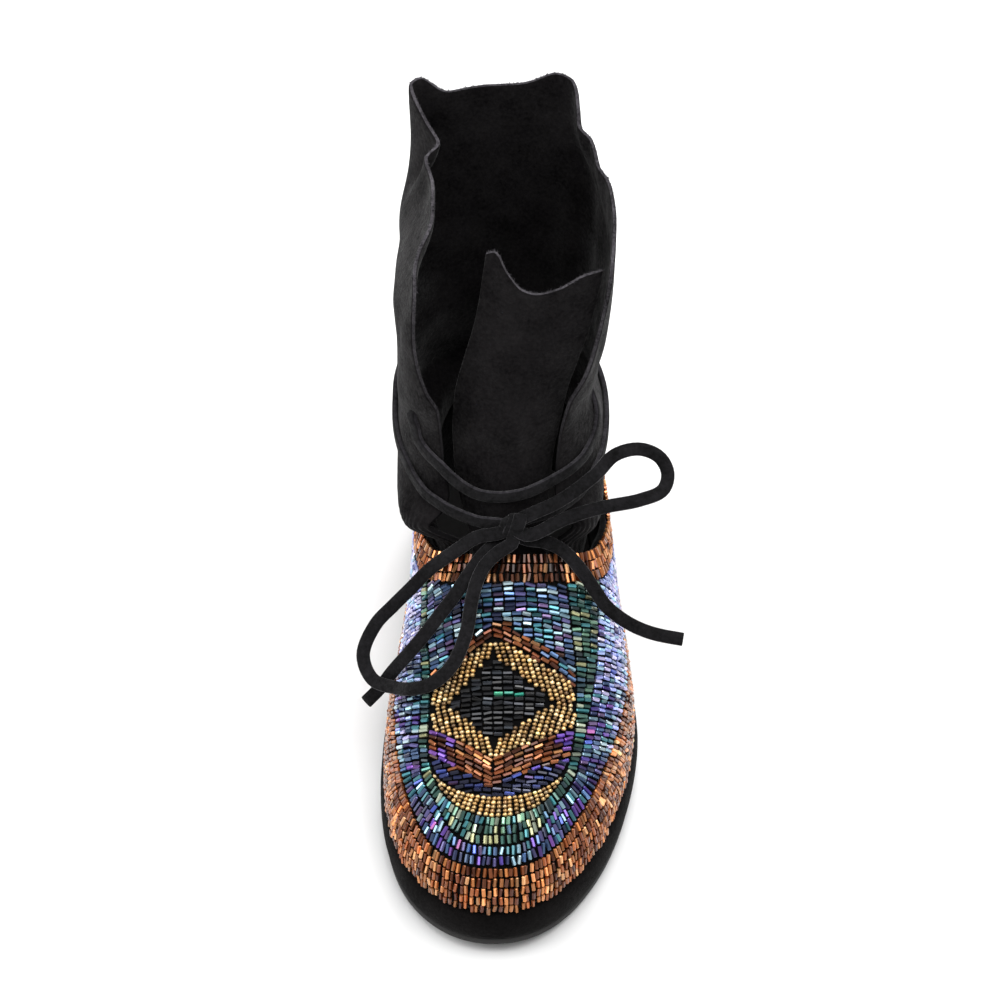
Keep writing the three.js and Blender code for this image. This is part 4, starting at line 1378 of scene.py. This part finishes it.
@dataclass(frozen=True)
class Beadwork:
    """Bead embroidery of the upper: bands round the foot, an apron with a diamond and a throat band."""

    form: FootForm
    finishes: Finishes
    rng: Random = field(default_factory=lambda: np.random.default_rng(BEAD_SEED))
    diamond: Diamond = Diamond()
    plan: ColorPlan = ColorPlan()
    dense: int = 2400
    rim_points: int = 240
    rim_step: int = 6
    foot_edge: float = 0.3
    foot_waves: tuple[tuple[float, int, float], ...] = ((0.5, 29, 0.0), (0.45, 67, 1.0))
    spacing_vary: float = 0.12
    throat_lane: float = 12.0
    throat_edge: float = 0.3
    throat_clear: float = 0.1
    band_gap: float = 0.4
    arc_gap: float = 0.2
    apron_tip: float = 24.0
    apron_middle: float = 66.0
    apron_power: float = 2.1
    arc_width: float = 10.0
    arc_reach: float = 30.0
    rows_above: int = 4
    rows_below: int = 6
    row_overlap: float = 0.8
    row_room: float = 0.6
    row_past: float = 10.0
    row_samples: int = 80
    vamp_run: float = 150.0
    dark_inset: float = 1.06
    gold_room: float = 0.3

    def build(self) -> None:
        """Makes the bead pieces, one for each bead lane and two for the apron."""
        turn = full_turn(self.dense)
        spokes = Strings.round_foot(self.form.spokes(turn))
        rays = Strings.round_foot(self.form.rays(turn))
        rim = rays.points[:: self.dense // self.rim_points, -1]
        copper, blue, green, gold = self._band_ends(spokes, rim)
        foot = self.foot_edge + sum(a * np.sin(n * turn + b) for a, n, b in self.foot_waves)
        top = rays.lengths[:, -1]
        throat, edge = top - self.throat_lane, top - self.throat_edge
        gap = self.band_gap
        lanes = (
            ("bead_lane_copper_rows", "bead_lane_copper", Slot.COPPER, partial(self._pick, COPPER)),
            ("bead_lane_blue_rows", "bead_lane_blue", Slot.BLUE, self._blue_colors),
            ("bead_lane_green_rows", "bead_lane_green", Slot.GREEN, partial(self._pick, GREEN)),
            ("bead_throat_rows", "bead_lane_throat", Slot.COPPER, self._throat_colors),
        )
        bands = (
            (spokes, foot, copper),
            (spokes, copper + gap, blue),
            (spokes, blue + gap, green),
            (rays, throat, edge),
        )
        for (name, solid, slot, colors_of), (lines, low, high) in zip(lanes, bands):
            beads = self._band(lines, low, high, BUGLE)
            piece = self._piece(name, beads, colors_of(beads), BUGLE)
            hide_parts(solid)
        arc = self._band(spokes, green + self.arc_gap, gold, SEED)
        self._apron_rows(rim)
        self._apron_gold(arc)

    def _band_ends(self, spokes: Strings, rim: Array) -> tuple[Array, Array, Array, Array]:
        """Lengths up the spokes at which the bands end.

        The green band keeps at least a bead's length beside the apron.

        Args:
            spokes: lines up from the sole's edge.
            rim: points of the upper's rim.

        Returns:
            Ends of the copper, blue and green bands and of the gold arc.
        """
        points, lengths = spokes.points, spokes.lengths
        place = self.form.section(points[..., 1])
        over_edge = points[..., 2] - place.base
        copper, blue = (
            first_reach(over_edge - LANES.line("from_toe", name)(place.from_toe), lengths)
            for name in ("copper", "blue")
        )
        every = np.arange(0, self.dense, self.rim_step)
        near = self.throat_lane + self.band_gap - self._rim_distance(points[every], rim)
        clear = first_reach(near, lengths[every])
        clear = np.interp(np.arange(self.dense), every, clear, period=self.dense)
        apron, arc = (first_reach(self._in_apron(points, i), lengths) for i in (0.0, self.arc_width))
        beside = (copper < apron) & (apron < clear)
        narrow = np.where(beside, apron - BUGLE.length - self.band_gap, clear)
        return copper, np.minimum(blue, narrow), np.minimum(apron, clear), np.minimum(arc, clear)

    def _rim_distance(self, points: Array, rim: Array) -> Array:
        """Straight distance of points from the rim's nearest point."""
        return np.linalg.norm(points[..., None, :] - rim, axis=-1).min(axis=-1)

    def _in_apron(self, points: Array, inset: float) -> Array:
        """Positive inside the apron's edge, a superellipse in plan with straight sides behind."""
        section = self.form.section(points[..., 1])
        along = np.clip((section.from_toe - self.apron_tip) / self.arc_reach, 0, 1)
        taper = inset * (1 - along**2)
        center = APRON.line("from_toe", "center")(section.from_toe)
        across = np.abs(points[..., 0] - center) / APRON.line("from_toe", "half_width")(section.from_toe)
        tip = self.apron_tip + taper
        ahead = np.maximum(0, self.apron_middle - section.from_toe) / (self.apron_middle - tip)
        return 1 - across**self.apron_power - ahead**self.apron_power

    def _band(self, lines: Strings, low: Array, high: Array, style: BeadStyle) -> Beads:
        """Beads of one band, on lines spaced evenly along the band's middle.

        Args:
            lines: close-set lines round the foot.
            low: the band's lower edge on each line.
            high: its upper edge.
            style: the beads.

        Returns:
            The beads.
        """
        middle = np.clip((low + high) / 2, 0, lines.lengths[:, -1])
        path, _, _ = lines.at(np.arange(len(middle)), middle)
        run = run_lengths(np.concatenate([path, path[:1]]))
        count = int(run[-1] / style.pitch)
        vary = self.rng.uniform(-self.spacing_vary, self.spacing_vary, count)
        wanted = (np.arange(count) + vary) * run[-1] / count
        chosen = np.unique(np.searchsorted(run[:-1], wanted % run[-1]) % len(middle))
        chosen = chosen[style.fits((high - low)[chosen])]
        return style.thread(lines.kept(chosen), low[chosen], high[chosen], self.rng)

    def _pick(self, palette: Palette, beads: Beads) -> Array:
        """Colours of one palette for beads."""
        return palette.pick(len(beads.length), self.rng)

    def _chance(self, share: Array | float, beads: Beads) -> Array:
        """Marks a share of beads at random, as a column."""
        return (self.rng.random(len(beads.length)) < share)[:, None]

    def _mix(self, share: Array | float, first: Palette, second: Palette, beads: Beads) -> Array:
        """Colours for beads, a share of which take the first palette."""
        chosen = self._chance(share, beads)
        return np.where(chosen, self._pick(first, beads), self._pick(second, beads))

    def _throat_colors(self, beads: Beads) -> Array:
        """Dark copper across the instep, turning brighter at both sides."""
        off_middle = np.abs(beads.middle[:, 0] - self.form.section(beads.middle[:, 1]).middle)
        return self._mix(smoothstep(off_middle, *self.plan.bright_throat), COPPER, DEEP_COPPER, beads)

    def _blue_colors(self, beads: Beads) -> Array:
        """Blue at the toe, turning to lilac up the sides and round the heel."""
        picked = self._mix(self.plan.purple_share, PURPLE, BLUE, beads)
        lilac = self._chance(smoothstep(beads.middle[:, 1], *self.plan.lilac), beads)
        return np.where(lilac, self._pick(LILAC, beads), picked)

    def _field_colors(self, beads: Beads) -> Array:
        """Copper beside the diamond, blue above it, purple below it and dark by the arc.

        Args:
            beads: the beads.

        Returns:
            Colours.
        """
        diamond, plan = self.diamond, self.plan
        across, run = self._chart(beads)
        up = run > diamond.middle
        room = np.abs(run - diamond.middle) - diamond.outer_long + diamond.fall(across)
        reach = np.where(up, plan.warm_above, plan.warm_below)
        sides = 1 - plan.cool_share * smoothstep(np.abs(across), *plan.cool_sides)
        warm = (1 - smoothstep(room, reach, reach + plan.warm_fade)) * sides
        cool, deep = (
            np.where(up[:, None], self._pick(BLUE, beads), self._pick(below, beads))
            for below in (PURPLE, NAVY)
        )
        colors = np.where(self._chance(smoothstep(room, *plan.deep), beads), deep, cool)
        return np.where(self._chance(warm, beads), self._pick(RUST, beads), colors)

    def _dark_colors(self, beads: Beads) -> Array:
        """Black, with a few jade beads at the diamond's middle.

        Args:
            beads: the beads.

        Returns:
            Colours.
        """
        plan = self.plan
        across, run = self._chart(beads)
        high = (run - self.diamond.middle - plan.jade_up) / plan.jade_high
        near = np.exp(-((across / plan.jade_wide) ** 2) - high**2)
        return self._mix(plan.jade_share * near, JADE, BLACK, beads)

    def _row_beads(self, run: Array, bend: float, side: float) -> Beads:
        """Beads in rows across half of the apron.

        Args:
            run: each row's run up the vamp at the pattern's axis.
            bend: 1 where rows rise along the diamond's edge, -1 where they fall, 0 for level ones.
            side: 1 for the outer half, -1 for the inner half.

        Returns:
            The beads.
        """
        across = side * np.linspace(0, self.diamond.outer_wide + self.row_past, self.row_samples)
        y = self.form.ridge(run[:, None] + bend * self.diamond.fall(across))
        x = np.broadcast_to(self.diamond.place(across), y.shape)
        points, normals = self.form.on_top(x, y)
        lines = Strings(points, normals, run_lengths(points))
        edge = first_reach(-self._in_apron(points, self.arc_width), lines.lengths) - self.band_gap
        rows = BUGLE.fits(edge)
        return BUGLE.thread(lines.kept(rows), np.zeros(rows.sum()), edge[rows], self.rng)

    def _chart(self, beads: Beads) -> tuple[Array, Array]:
        """Pattern place across and run up the vamp of beads on the apron."""
        return self.diamond.across(beads.middle[:, 0]), self.form.run_up(beads.middle[:, 1])

    def _apron_rows(self, rim: Array) -> None:
        """Makes the apron's leaning and level rows and the dark diamond.

        Args:
            rim: points of the upper's rim.
        """
        diamond, pitch = self.diamond, BUGLE.pitch
        lots: list[Beads] = []
        colors: list[Array] = []
        start = diamond.outer_long - self.row_overlap
        above = diamond.middle + start + np.arange(self.rows_above) * pitch
        below = diamond.middle - start - np.arange(self.rows_below) * pitch
        highest, lowest = above[-1] + self.row_room * pitch, below[-1] - self.row_room * pitch
        for side in (-1.0, 1.0):
            flat = self._row_beads(np.arange(0, self.vamp_run, pitch), 0.0, side)
            across, run = self._chart(flat)
            fall = diamond.fall(across)
            flat = flat.kept((run + fall > highest) | (run - fall < lowest))
            falling, rising = self._row_beads(above, -1.0, side), self._row_beads(below, 1.0, side)
            for beads in (falling, rising, flat):
                clear = self._rim_distance(beads.middle, rim) > self.throat_lane + self.throat_clear
                lots.append(beads.kept(~diamond.in_outer(*self._chart(beads)) & clear))
                colors.append(self._field_colors(lots[-1]))

        rows = np.arange(-diamond.inner_long, diamond.inner_long, pitch)
        for side in (-1.0, 1.0):
            beads = self._row_beads(diamond.middle + rows, 0.0, side)
            across, run = self._chart(beads)
            run = diamond.middle + (run - diamond.middle) * self.dark_inset
            lots.append(beads.kept(diamond.in_inner(across * self.dark_inset, run)))
            colors.append(self._dark_colors(lots[-1]))
        self._piece("bead_apron_rows", Beads.joined(lots), np.concatenate(colors), BUGLE)

    def _apron_gold(self, arc: Beads) -> None:
        """Makes the diamond's gold border, in columns that lean inwards, and the gold arc.

        Args:
            arc: the gold arc's beads.
        """
        diamond = self.diamond
        widest = diamond.outer_wide + diamond.outer_long * diamond.lean
        inner, outer = SEED.pitch / diamond.inner_unit, SEED.pitch / diamond.outer_unit
        inner_columns = -np.arange(0.5, widest / inner)[::-1] * inner
        columns = np.concatenate([inner_columns, np.arange(0.5, widest / outer) * outer])
        low, high = diamond.middle - diamond.outer_long, diamond.middle + diamond.outer_long
        run = np.linspace(low, high, self.row_samples)
        inwards = diamond.lean * np.abs(run - diamond.middle)[None, :]
        x = diamond.place(columns[:, None] - np.sign(columns)[:, None] * inwards)
        y = np.broadcast_to(self.form.ridge(run)[None, :], x.shape)
        points, normals = self.form.on_top(x, y)
        lines = Strings(points, normals, run_lengths(points))
        whole = lines.lengths[:, -1]
        beads = SEED.thread(lines, np.zeros_like(whole), whole, self.rng)
        across, run = self._chart(beads)
        own_side = across * np.sign(columns)[beads.string] > self.gold_room * SEED.pitch
        border = own_side & diamond.in_outer(across, run) & ~diamond.in_inner(across, run)
        gold = Beads.joined([beads.kept(border), arc])
        piece = self._piece("bead_apron_gold", gold, self._pick(GOLD, gold), SEED)
        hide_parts("bead_apron")

    def _piece(self, name: str, beads: Beads, colors: Array, style: BeadStyle) -> Piece:
        """Makes one piece of many beads.

        Args:
            name: the piece's name.
            beads: its beads.
            colors: a colour for each bead.
            style: the beads' shape.

        Returns:
            The piece.
        """
        points, faces = style.mesh(beads, self.rng)
        piece = make_piece(name, points, faces, [self.finishes.beads], smooth=style is SEED)
        rgba = np.concatenate([colors, np.ones((len(colors), 1))], axis=1)
        rgba = np.repeat(rgba, len(style.profile) * style.sides, axis=0)
        attribute = piece.data.attributes.new(BEAD_COLOR, "FLOAT_COLOR", "POINT")
        attribute.data.foreach_set("color", rgba.astype(np.float32).ravel())
        LOG.info("%s: %d beads", name, len(beads.length))
        return piece


ROUTES = {
    "lace_front_crossing": (
        (-35.2, 36.8, 126.2), (-36.9, 33.9, 124.7), (-35.7, 32.6, 120.7), (-35, 30.6, 117.1),
        (-33, 27.8, 114.6), (-30.2, 25, 112.5), (-26.3, 21.9, 110.3), (-22.4, 19.1, 107.6),
        (-17.2, 16.8, 104), (-11.3, 15.6, 101.2), (-3.1, 15.2, 100.4), (5.7, 15.6, 102),
        (12.1, 17.5, 104), (18.3, 21.1, 105.2), (23.3, 25, 105.9), (27.9, 30.6, 106.5),
        (30.9, 36.3, 108.3), (33, 42.7, 110.9), (33.2, 48.7, 114.6), (30.6, 55.6, 118.6),
    ),
    "lace_ankle_turn": (
        (0.4, 9.2, 91.4), (-4.8, 10.2, 91.4), (-12.2, 11, 91.8), (-22.5, 13.4, 95.2),
        (-27.1, 16.7, 95.9), (-31.6, 21, 96.2), (-34.7, 25.7, 96.9), (-37.3, 31.5, 97.3),
        (-39.5, 36.6, 99), (-41.7, 42.9, 100.2), (-43.5, 53.4, 101.4), (-43.8, 64.9, 103),
        (-43, 77.7, 104.4), (-39.1, 91.8, 105.3), (-32.1, 102.5, 105.3), (-22.9, 109.7, 105),
        (-11, 113.3, 104.1), (3.7, 113.3, 103.2), (14.8, 110, 102.2), (23.8, 103.5, 101),
        (31.5, 92.9, 99.9), (35.8, 79.6, 98.7), (37.1, 61.3, 97.7), (35.3, 43.8, 96.9),
        (31.6, 32.1, 96.2), (27.1, 23.1, 95.7), (21.9, 17.4, 95.5), (16.9, 13.1, 95.3),
        (6.9, 10.6, 93.4), (2, 9.4, 92.2),
    ),
    "bow_loop_left": (
        (0.2, 7.6, 91.4), (-4.4, 6.2, 90), (-12, 6.4, 87.9), (-20.7, 5, 81.6), (-30.2, 3.6, 73.4),
        (-37.7, 1, 65.4), (-44.5, -3, 59.9), (-50.9, -8, 55.3), (-55.6, -17, 48.4),
        (-52, -27.6, 46), (-43.4, -35.4, 49.6), (-35.8, -43, 57.2), (-30.2, -44.8, 61.2),
        (-25.2, -42.9, 64), (-20.7, -38.9, 67.5), (-16.2, -28.2, 72.8), (-14.3, -16.7, 77.3),
        (-12.4, -10.1, 80.8), (-9.4, -4.4, 83.6), (-4, 0.4, 86.2), (1, 3, 88.4), (1.2, 6.6, 90.6),
    ),
    "bow_loop_right": (
        (1.2, 8, 93.4), (5.4, 8.2, 96.6), (18.9, 12.6, 101), (32.1, 22, 105.3),
        (39.7, 29.5, 108.5), (49.1, 33, 108.2), (56.6, 31.4, 105.5), (59.7, 27, 101.4),
        (57.8, 20.9, 98.4), (49.1, 16.6, 97.4), (34, 13.2, 96.6), (20.8, 9.2, 94.8),
        (7, 3.9, 91.4), (2.2, 6.6, 91.6),
    ),
    "lace_end_left": (
        (0.2, 8, 89.2), (-4.2, 6.8, 84.9), (-8.2, 2.7, 84.8), (-11.6, -1, 83.1),
        (-15.6, -5.6, 79.8), (-20.7, -12, 75.4), (-26.4, -18, 70.8), (-32, -22.9, 65.4),
        (-37.9, -26.6, 59.2), (-43.9, -27, 50), (-49.4, -28.6, 41.6), (-54.3, -29.5, 35.4),
    ),
    "lace_end_right": (
        (1.6, 7.8, 90.2), (5.2, 6.4, 87.2), (13.2, 5.6, 86), (18.9, 4.4, 83.8), (23.8, 2, 80),
        (28.3, -1.4, 75.4), (32.1, -4.8, 70.8), (36.2, -8.4, 66), (40.8, -9.4, 61.4),
        (45.8, -10.2, 57.6), (51, -11.2, 55.2), (56.6, -12, 53.6), (65.7, -12.8, 52),
    ),
}


class FarEnd(Enum):
    """Where a free run of the lace ends."""

    KNOT = "object"
    CUT = "bare"


class FreeRun(NamedTuple):
    """A free run of the lace: its route, real length in metres and far end."""

    name: str
    length: float
    far_end: FarEnd


@dataclass(frozen=True)
class Lace:
    """Flat suede thong: held round the ankle, tied in a bow in front."""

    finishes: Finishes
    width: float = 5.2
    thickness: float = 2.4
    sides: int = 16
    square: float = 0.62
    cut_share: float = 0.9
    step: float = 1.6
    span_samples: int = 24
    axis: tuple[float, float] = (-2.0, 64.0)
    bow_face: tuple[float, float, float] = (0.0, -0.6, 0.8)
    held: tuple[str, ...] = ("lace_front_crossing", "lace_ankle_turn")
    free: tuple[FreeRun, ...] = (
        FreeRun("bow_loop_left", 0.195, FarEnd.KNOT),
        FreeRun("bow_loop_right", 0.141, FarEnd.KNOT),
        FreeRun("lace_end_left", 0.091, FarEnd.CUT),
        FreeRun("lace_end_right", 0.082, FarEnd.CUT),
    )
    knot: tuple[float, float, float] = (1.0, 8.4, 91.8)
    knot_samples: int = 70
    knot_turn: tuple[float, float] = (-0.75 * np.pi, 2.5 * np.pi)
    knot_drift: tuple[float, float] = (1.6, 0.6)
    knot_sway: float = 1.5
    knot_depth: tuple[float, float] = (2.8, 0.5)
    knot_height: tuple[float, float] = (4.6, 0.4)
    knot_face: tuple[float, float, float] = (0.15, 1.0, 1.0)
    core: tuple[float, float, float] = (5.0, 3.0, 5.0)
    core_grid: tuple[int, int] = (20, 11)
    core_end: float = 1.5

    def build(self) -> None:
        """Makes the held runs, the knot and the free runs."""
        for name in self.held:
            piece = self._thong(name, self._smooth(np.array(ROUTES[name])), self._from_leg)
            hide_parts(name)
        knot = self._knot()
        for run in self.free:
            path = self._smooth(np.array(ROUTES[run.name]))
            piece = self._thong(run.name, path, self._from_front)
            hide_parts(run.name)
            LOG.info("%s: %.1f mm long", run.name, run_lengths(path)[-1])

    def _smooth(self, route: Array) -> Array:
        """Centripetal Catmull-Rom line through a route, at even steps.

        With spans d = sqrt(distance), the slope at a point is
        (p1 - p0)/d0 - (p2 - p0)/(d0 + d1) + (p2 - p1)/d1, and each span is a cubic between slopes.

        Args:
            route: given points in millimetres.

        Returns:
            Points about a step apart.
        """
        ends = np.concatenate([2 * route[:1] - route[1:2], route, 2 * route[-1:] - route[-2:-1]])
        d = np.sqrt(np.linalg.norm(np.diff(ends, axis=0), axis=1))[:, None]
        p0, p1, p2 = ends[:-2], ends[1:-1], ends[2:]
        slope = (p1 - p0) / d[:-1] - (p2 - p0) / (d[:-1] + d[1:]) + (p2 - p1) / d[1:]
        t = np.linspace(0, 1, self.span_samples, endpoint=False)[None, :, None]
        a, b = route[:-1, None], route[1:, None]
        u, v = (slope[:-1] * d[1:-1])[:, None], (slope[1:] * d[1:-1])[:, None]
        fine = (
            (2 * t**3 - 3 * t**2 + 1) * a
            + (t**3 - 2 * t**2 + t) * u
            + (3 * t**2 - 2 * t**3) * b
            + (t**3 - t**2) * v
        ).reshape(-1, 3)
        fine = np.concatenate([fine, route[-1:]])
        lengths = run_lengths(fine)
        wanted = np.linspace(0, lengths[-1], int(round(lengths[-1] / self.step)) + 1)
        return at_lengths(wanted, lengths, fine)

    def _from_leg(self, path: Array) -> Array:
        """Directions straight out from the leg's axis."""
        out = np.zeros_like(path)
        out[:, :2] = path[:, :2] - np.array(self.axis)
        return out

    def _from_front(self, path: Array) -> Array:
        """The bow's face direction at every point."""
        return np.broadcast_to(np.array(self.bow_face), path.shape)

    def _thong(self, name: str, path: Array, face_of: Callable[[Array], Array]) -> Piece:
        """Flat thong along a path: a squared oval ring at each point, closed at both ends.

        Args:
            name: the run's name.
            path: its middle line in millimetres.
            face_of: where the flat face looks.

        Returns:
            The piece.
        """
        tangent = unit(np.gradient(path, axis=0))
        side = unit(np.cross(face_of(path), tangent))
        face = np.cross(tangent, side)
        angle = full_turn(self.sides)
        wide = self.width / 2 * signed_power(np.cos(angle), self.square)
        thick = self.thickness / 2 * signed_power(np.sin(angle), self.square)
        rings = path[:, None] + side[:, None] * wide[:, None] + face[:, None] * thick[:, None]
        faces = tube_faces(len(path), self.sides)
        materials = [self.finishes.lace, self.finishes.cut_edge]
        piece = make_piece(f"{name}_thong", rings.reshape(-1, 3), faces, materials)
        cut = np.abs(np.cos(angle + np.pi / self.sides)) > self.cut_share
        index = np.concatenate([np.tile(cut, len(path) - 1), [True, True]])
        piece.data.polygons.foreach_set("material_index", index.astype(np.int32))
        return piece

    def _knot(self) -> Piece:
        """Knot: a thong wound round the strands as a flat spiral, about a small core.

        Returns:
            The thong's piece.
        """
        turn = np.linspace(*self.knot_turn, self.knot_samples)
        share = np.linspace(-1, 1, self.knot_samples)
        deep, high = (half + more * share for half, more in (self.knot_depth, self.knot_height))
        path = np.stack(
            [
                self.knot[0] + self.knot_drift[0] * share + self.knot_sway * np.sin(turn),
                self.knot[1] - deep * np.cos(turn),
                self.knot[2] + high * np.sin(turn) + self.knot_drift[1] * share,
            ],
            axis=-1,
        )
        centre = np.array(self.knot)
        piece = self._thong("bow_knot", path, lambda p: (p - centre) * self.knot_face)
        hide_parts("bow_knot")
        columns, rows = self.core_grid
        around = full_turn(columns)[:, None]
        up = np.linspace(-self.core_end, self.core_end, rows)[None, :]
        flat = np.cos(up)
        ball = np.stack([np.cos(around) * flat, np.sin(around) * flat, np.sin(up) + 0 * around], axis=-1)
        points = (centre + ball * np.array(self.core)).reshape(-1, 3)
        ring = np.arange(columns) * rows
        faces = [grid_faces(columns, rows, True), np.stack([ring[::-1], ring + rows - 1])]
        make_piece("bow_knot_core", points, faces, [self.finishes.lace])
        return piece


class Softbox(NamedTuple):
    """Square light: its name, place and side in metres, and its power in watts."""

    name: str
    place: tuple[float, float, float]
    size: float
    power: float


@dataclass(frozen=True)
class Studio:
    """Pale floor, soft lights and the photograph's camera."""

    target: tuple[float, float, float] = (-0.0037, 0.027, 0.087)
    elevation: float = 45.0
    distance: float = 1.8
    lens: float = 170.5
    sensor: float = 36.0
    floor_size: float = 6.0
    surroundings: float = 0.75
    lights: tuple[Softbox, ...] = (
        Softbox("key", (0.25, -0.35, 1.6), 1.3, 25.0),
        Softbox("left", (-1.3, -0.2, 0.9), 0.9, 11.0),
        Softbox("back", (0.2, 1.1, 1.2), 0.8, 18.0),
    )

    def build(self) -> None:
        """Makes floor, world, lights and camera."""
        self._floor()
        self._world()
        for box in self.lights:
            self._light(box)
        self._camera()

    def _floor(self) -> None:
        """White matt floor."""
        half = self.floor_size / 2
        mesh = bpy.data.meshes.new("floor")
        corners = [(-half, -half, 0), (half, -half, 0), (half, half, 0), (-half, half, 0)]
        mesh.from_pydata(corners, [], [(0, 1, 2, 3)])
        look = Look("white_paper", "#DCDCDC")
        look.surface({"Roughness": 0.9, "Specular IOR Level": 0.1})
        mesh.materials.append(look.material)
        floor = bpy.data.objects.new("floor", mesh)
        bpy.context.scene.collection.objects.link(floor)

    def _world(self) -> None:
        """Even white surroundings."""
        world = bpy.data.worlds.new("white_tent")
        world.use_nodes = True
        background = world.node_tree.nodes["Background"]
        background.inputs["Color"].default_value = (1.0, 1.0, 1.0, 1.0)
        background.inputs["Strength"].default_value = self.surroundings
        bpy.context.scene.world = world
        bpy.context.scene.view_settings.view_transform = "Standard"

    def _light(self, box: Softbox) -> None:
        """Square softbox aimed at the boot.

        Args:
            box: the light.
        """
        data = bpy.data.lights.new(box.name, "AREA")
        data.size = box.size
        data.energy = box.power
        light = bpy.data.objects.new(box.name, data)
        light.location = box.place
        aim = Vector(self.target) - Vector(box.place)
        light.rotation_euler = aim.to_track_quat("-Z", "Y").to_euler()
        bpy.context.scene.collection.objects.link(light)

    def _camera(self) -> None:
        """Camera at the photograph's angle."""
        data = bpy.data.cameras.new("camera")
        data.lens = self.lens
        data.sensor_width = self.sensor
        camera = bpy.data.objects.new("camera", data)
        tilt = math.radians(self.elevation)
        back = Vector((0.0, -math.cos(tilt), math.sin(tilt)))
        camera.location = Vector(self.target) + back * self.distance
        camera.rotation_euler = (-back).to_track_quat("-Z", "Y").to_euler()
        bpy.context.scene.collection.objects.link(camera)
        bpy.context.scene.camera = camera


def main() -> None:
    """Builds the boot and its studio."""
    logging.basicConfig(level=logging.INFO)
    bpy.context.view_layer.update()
    finishes = Finishes()
    form = FootForm()
    for part in (Sole, Upper, Beadwork, Shaft):
        part(form, finishes).build()
    for part in (Tongue, Lace):
        part(finishes).build()
    Studio().build()
    bpy.context.view_layer.update()


if __name__ == "__main__":
    main()
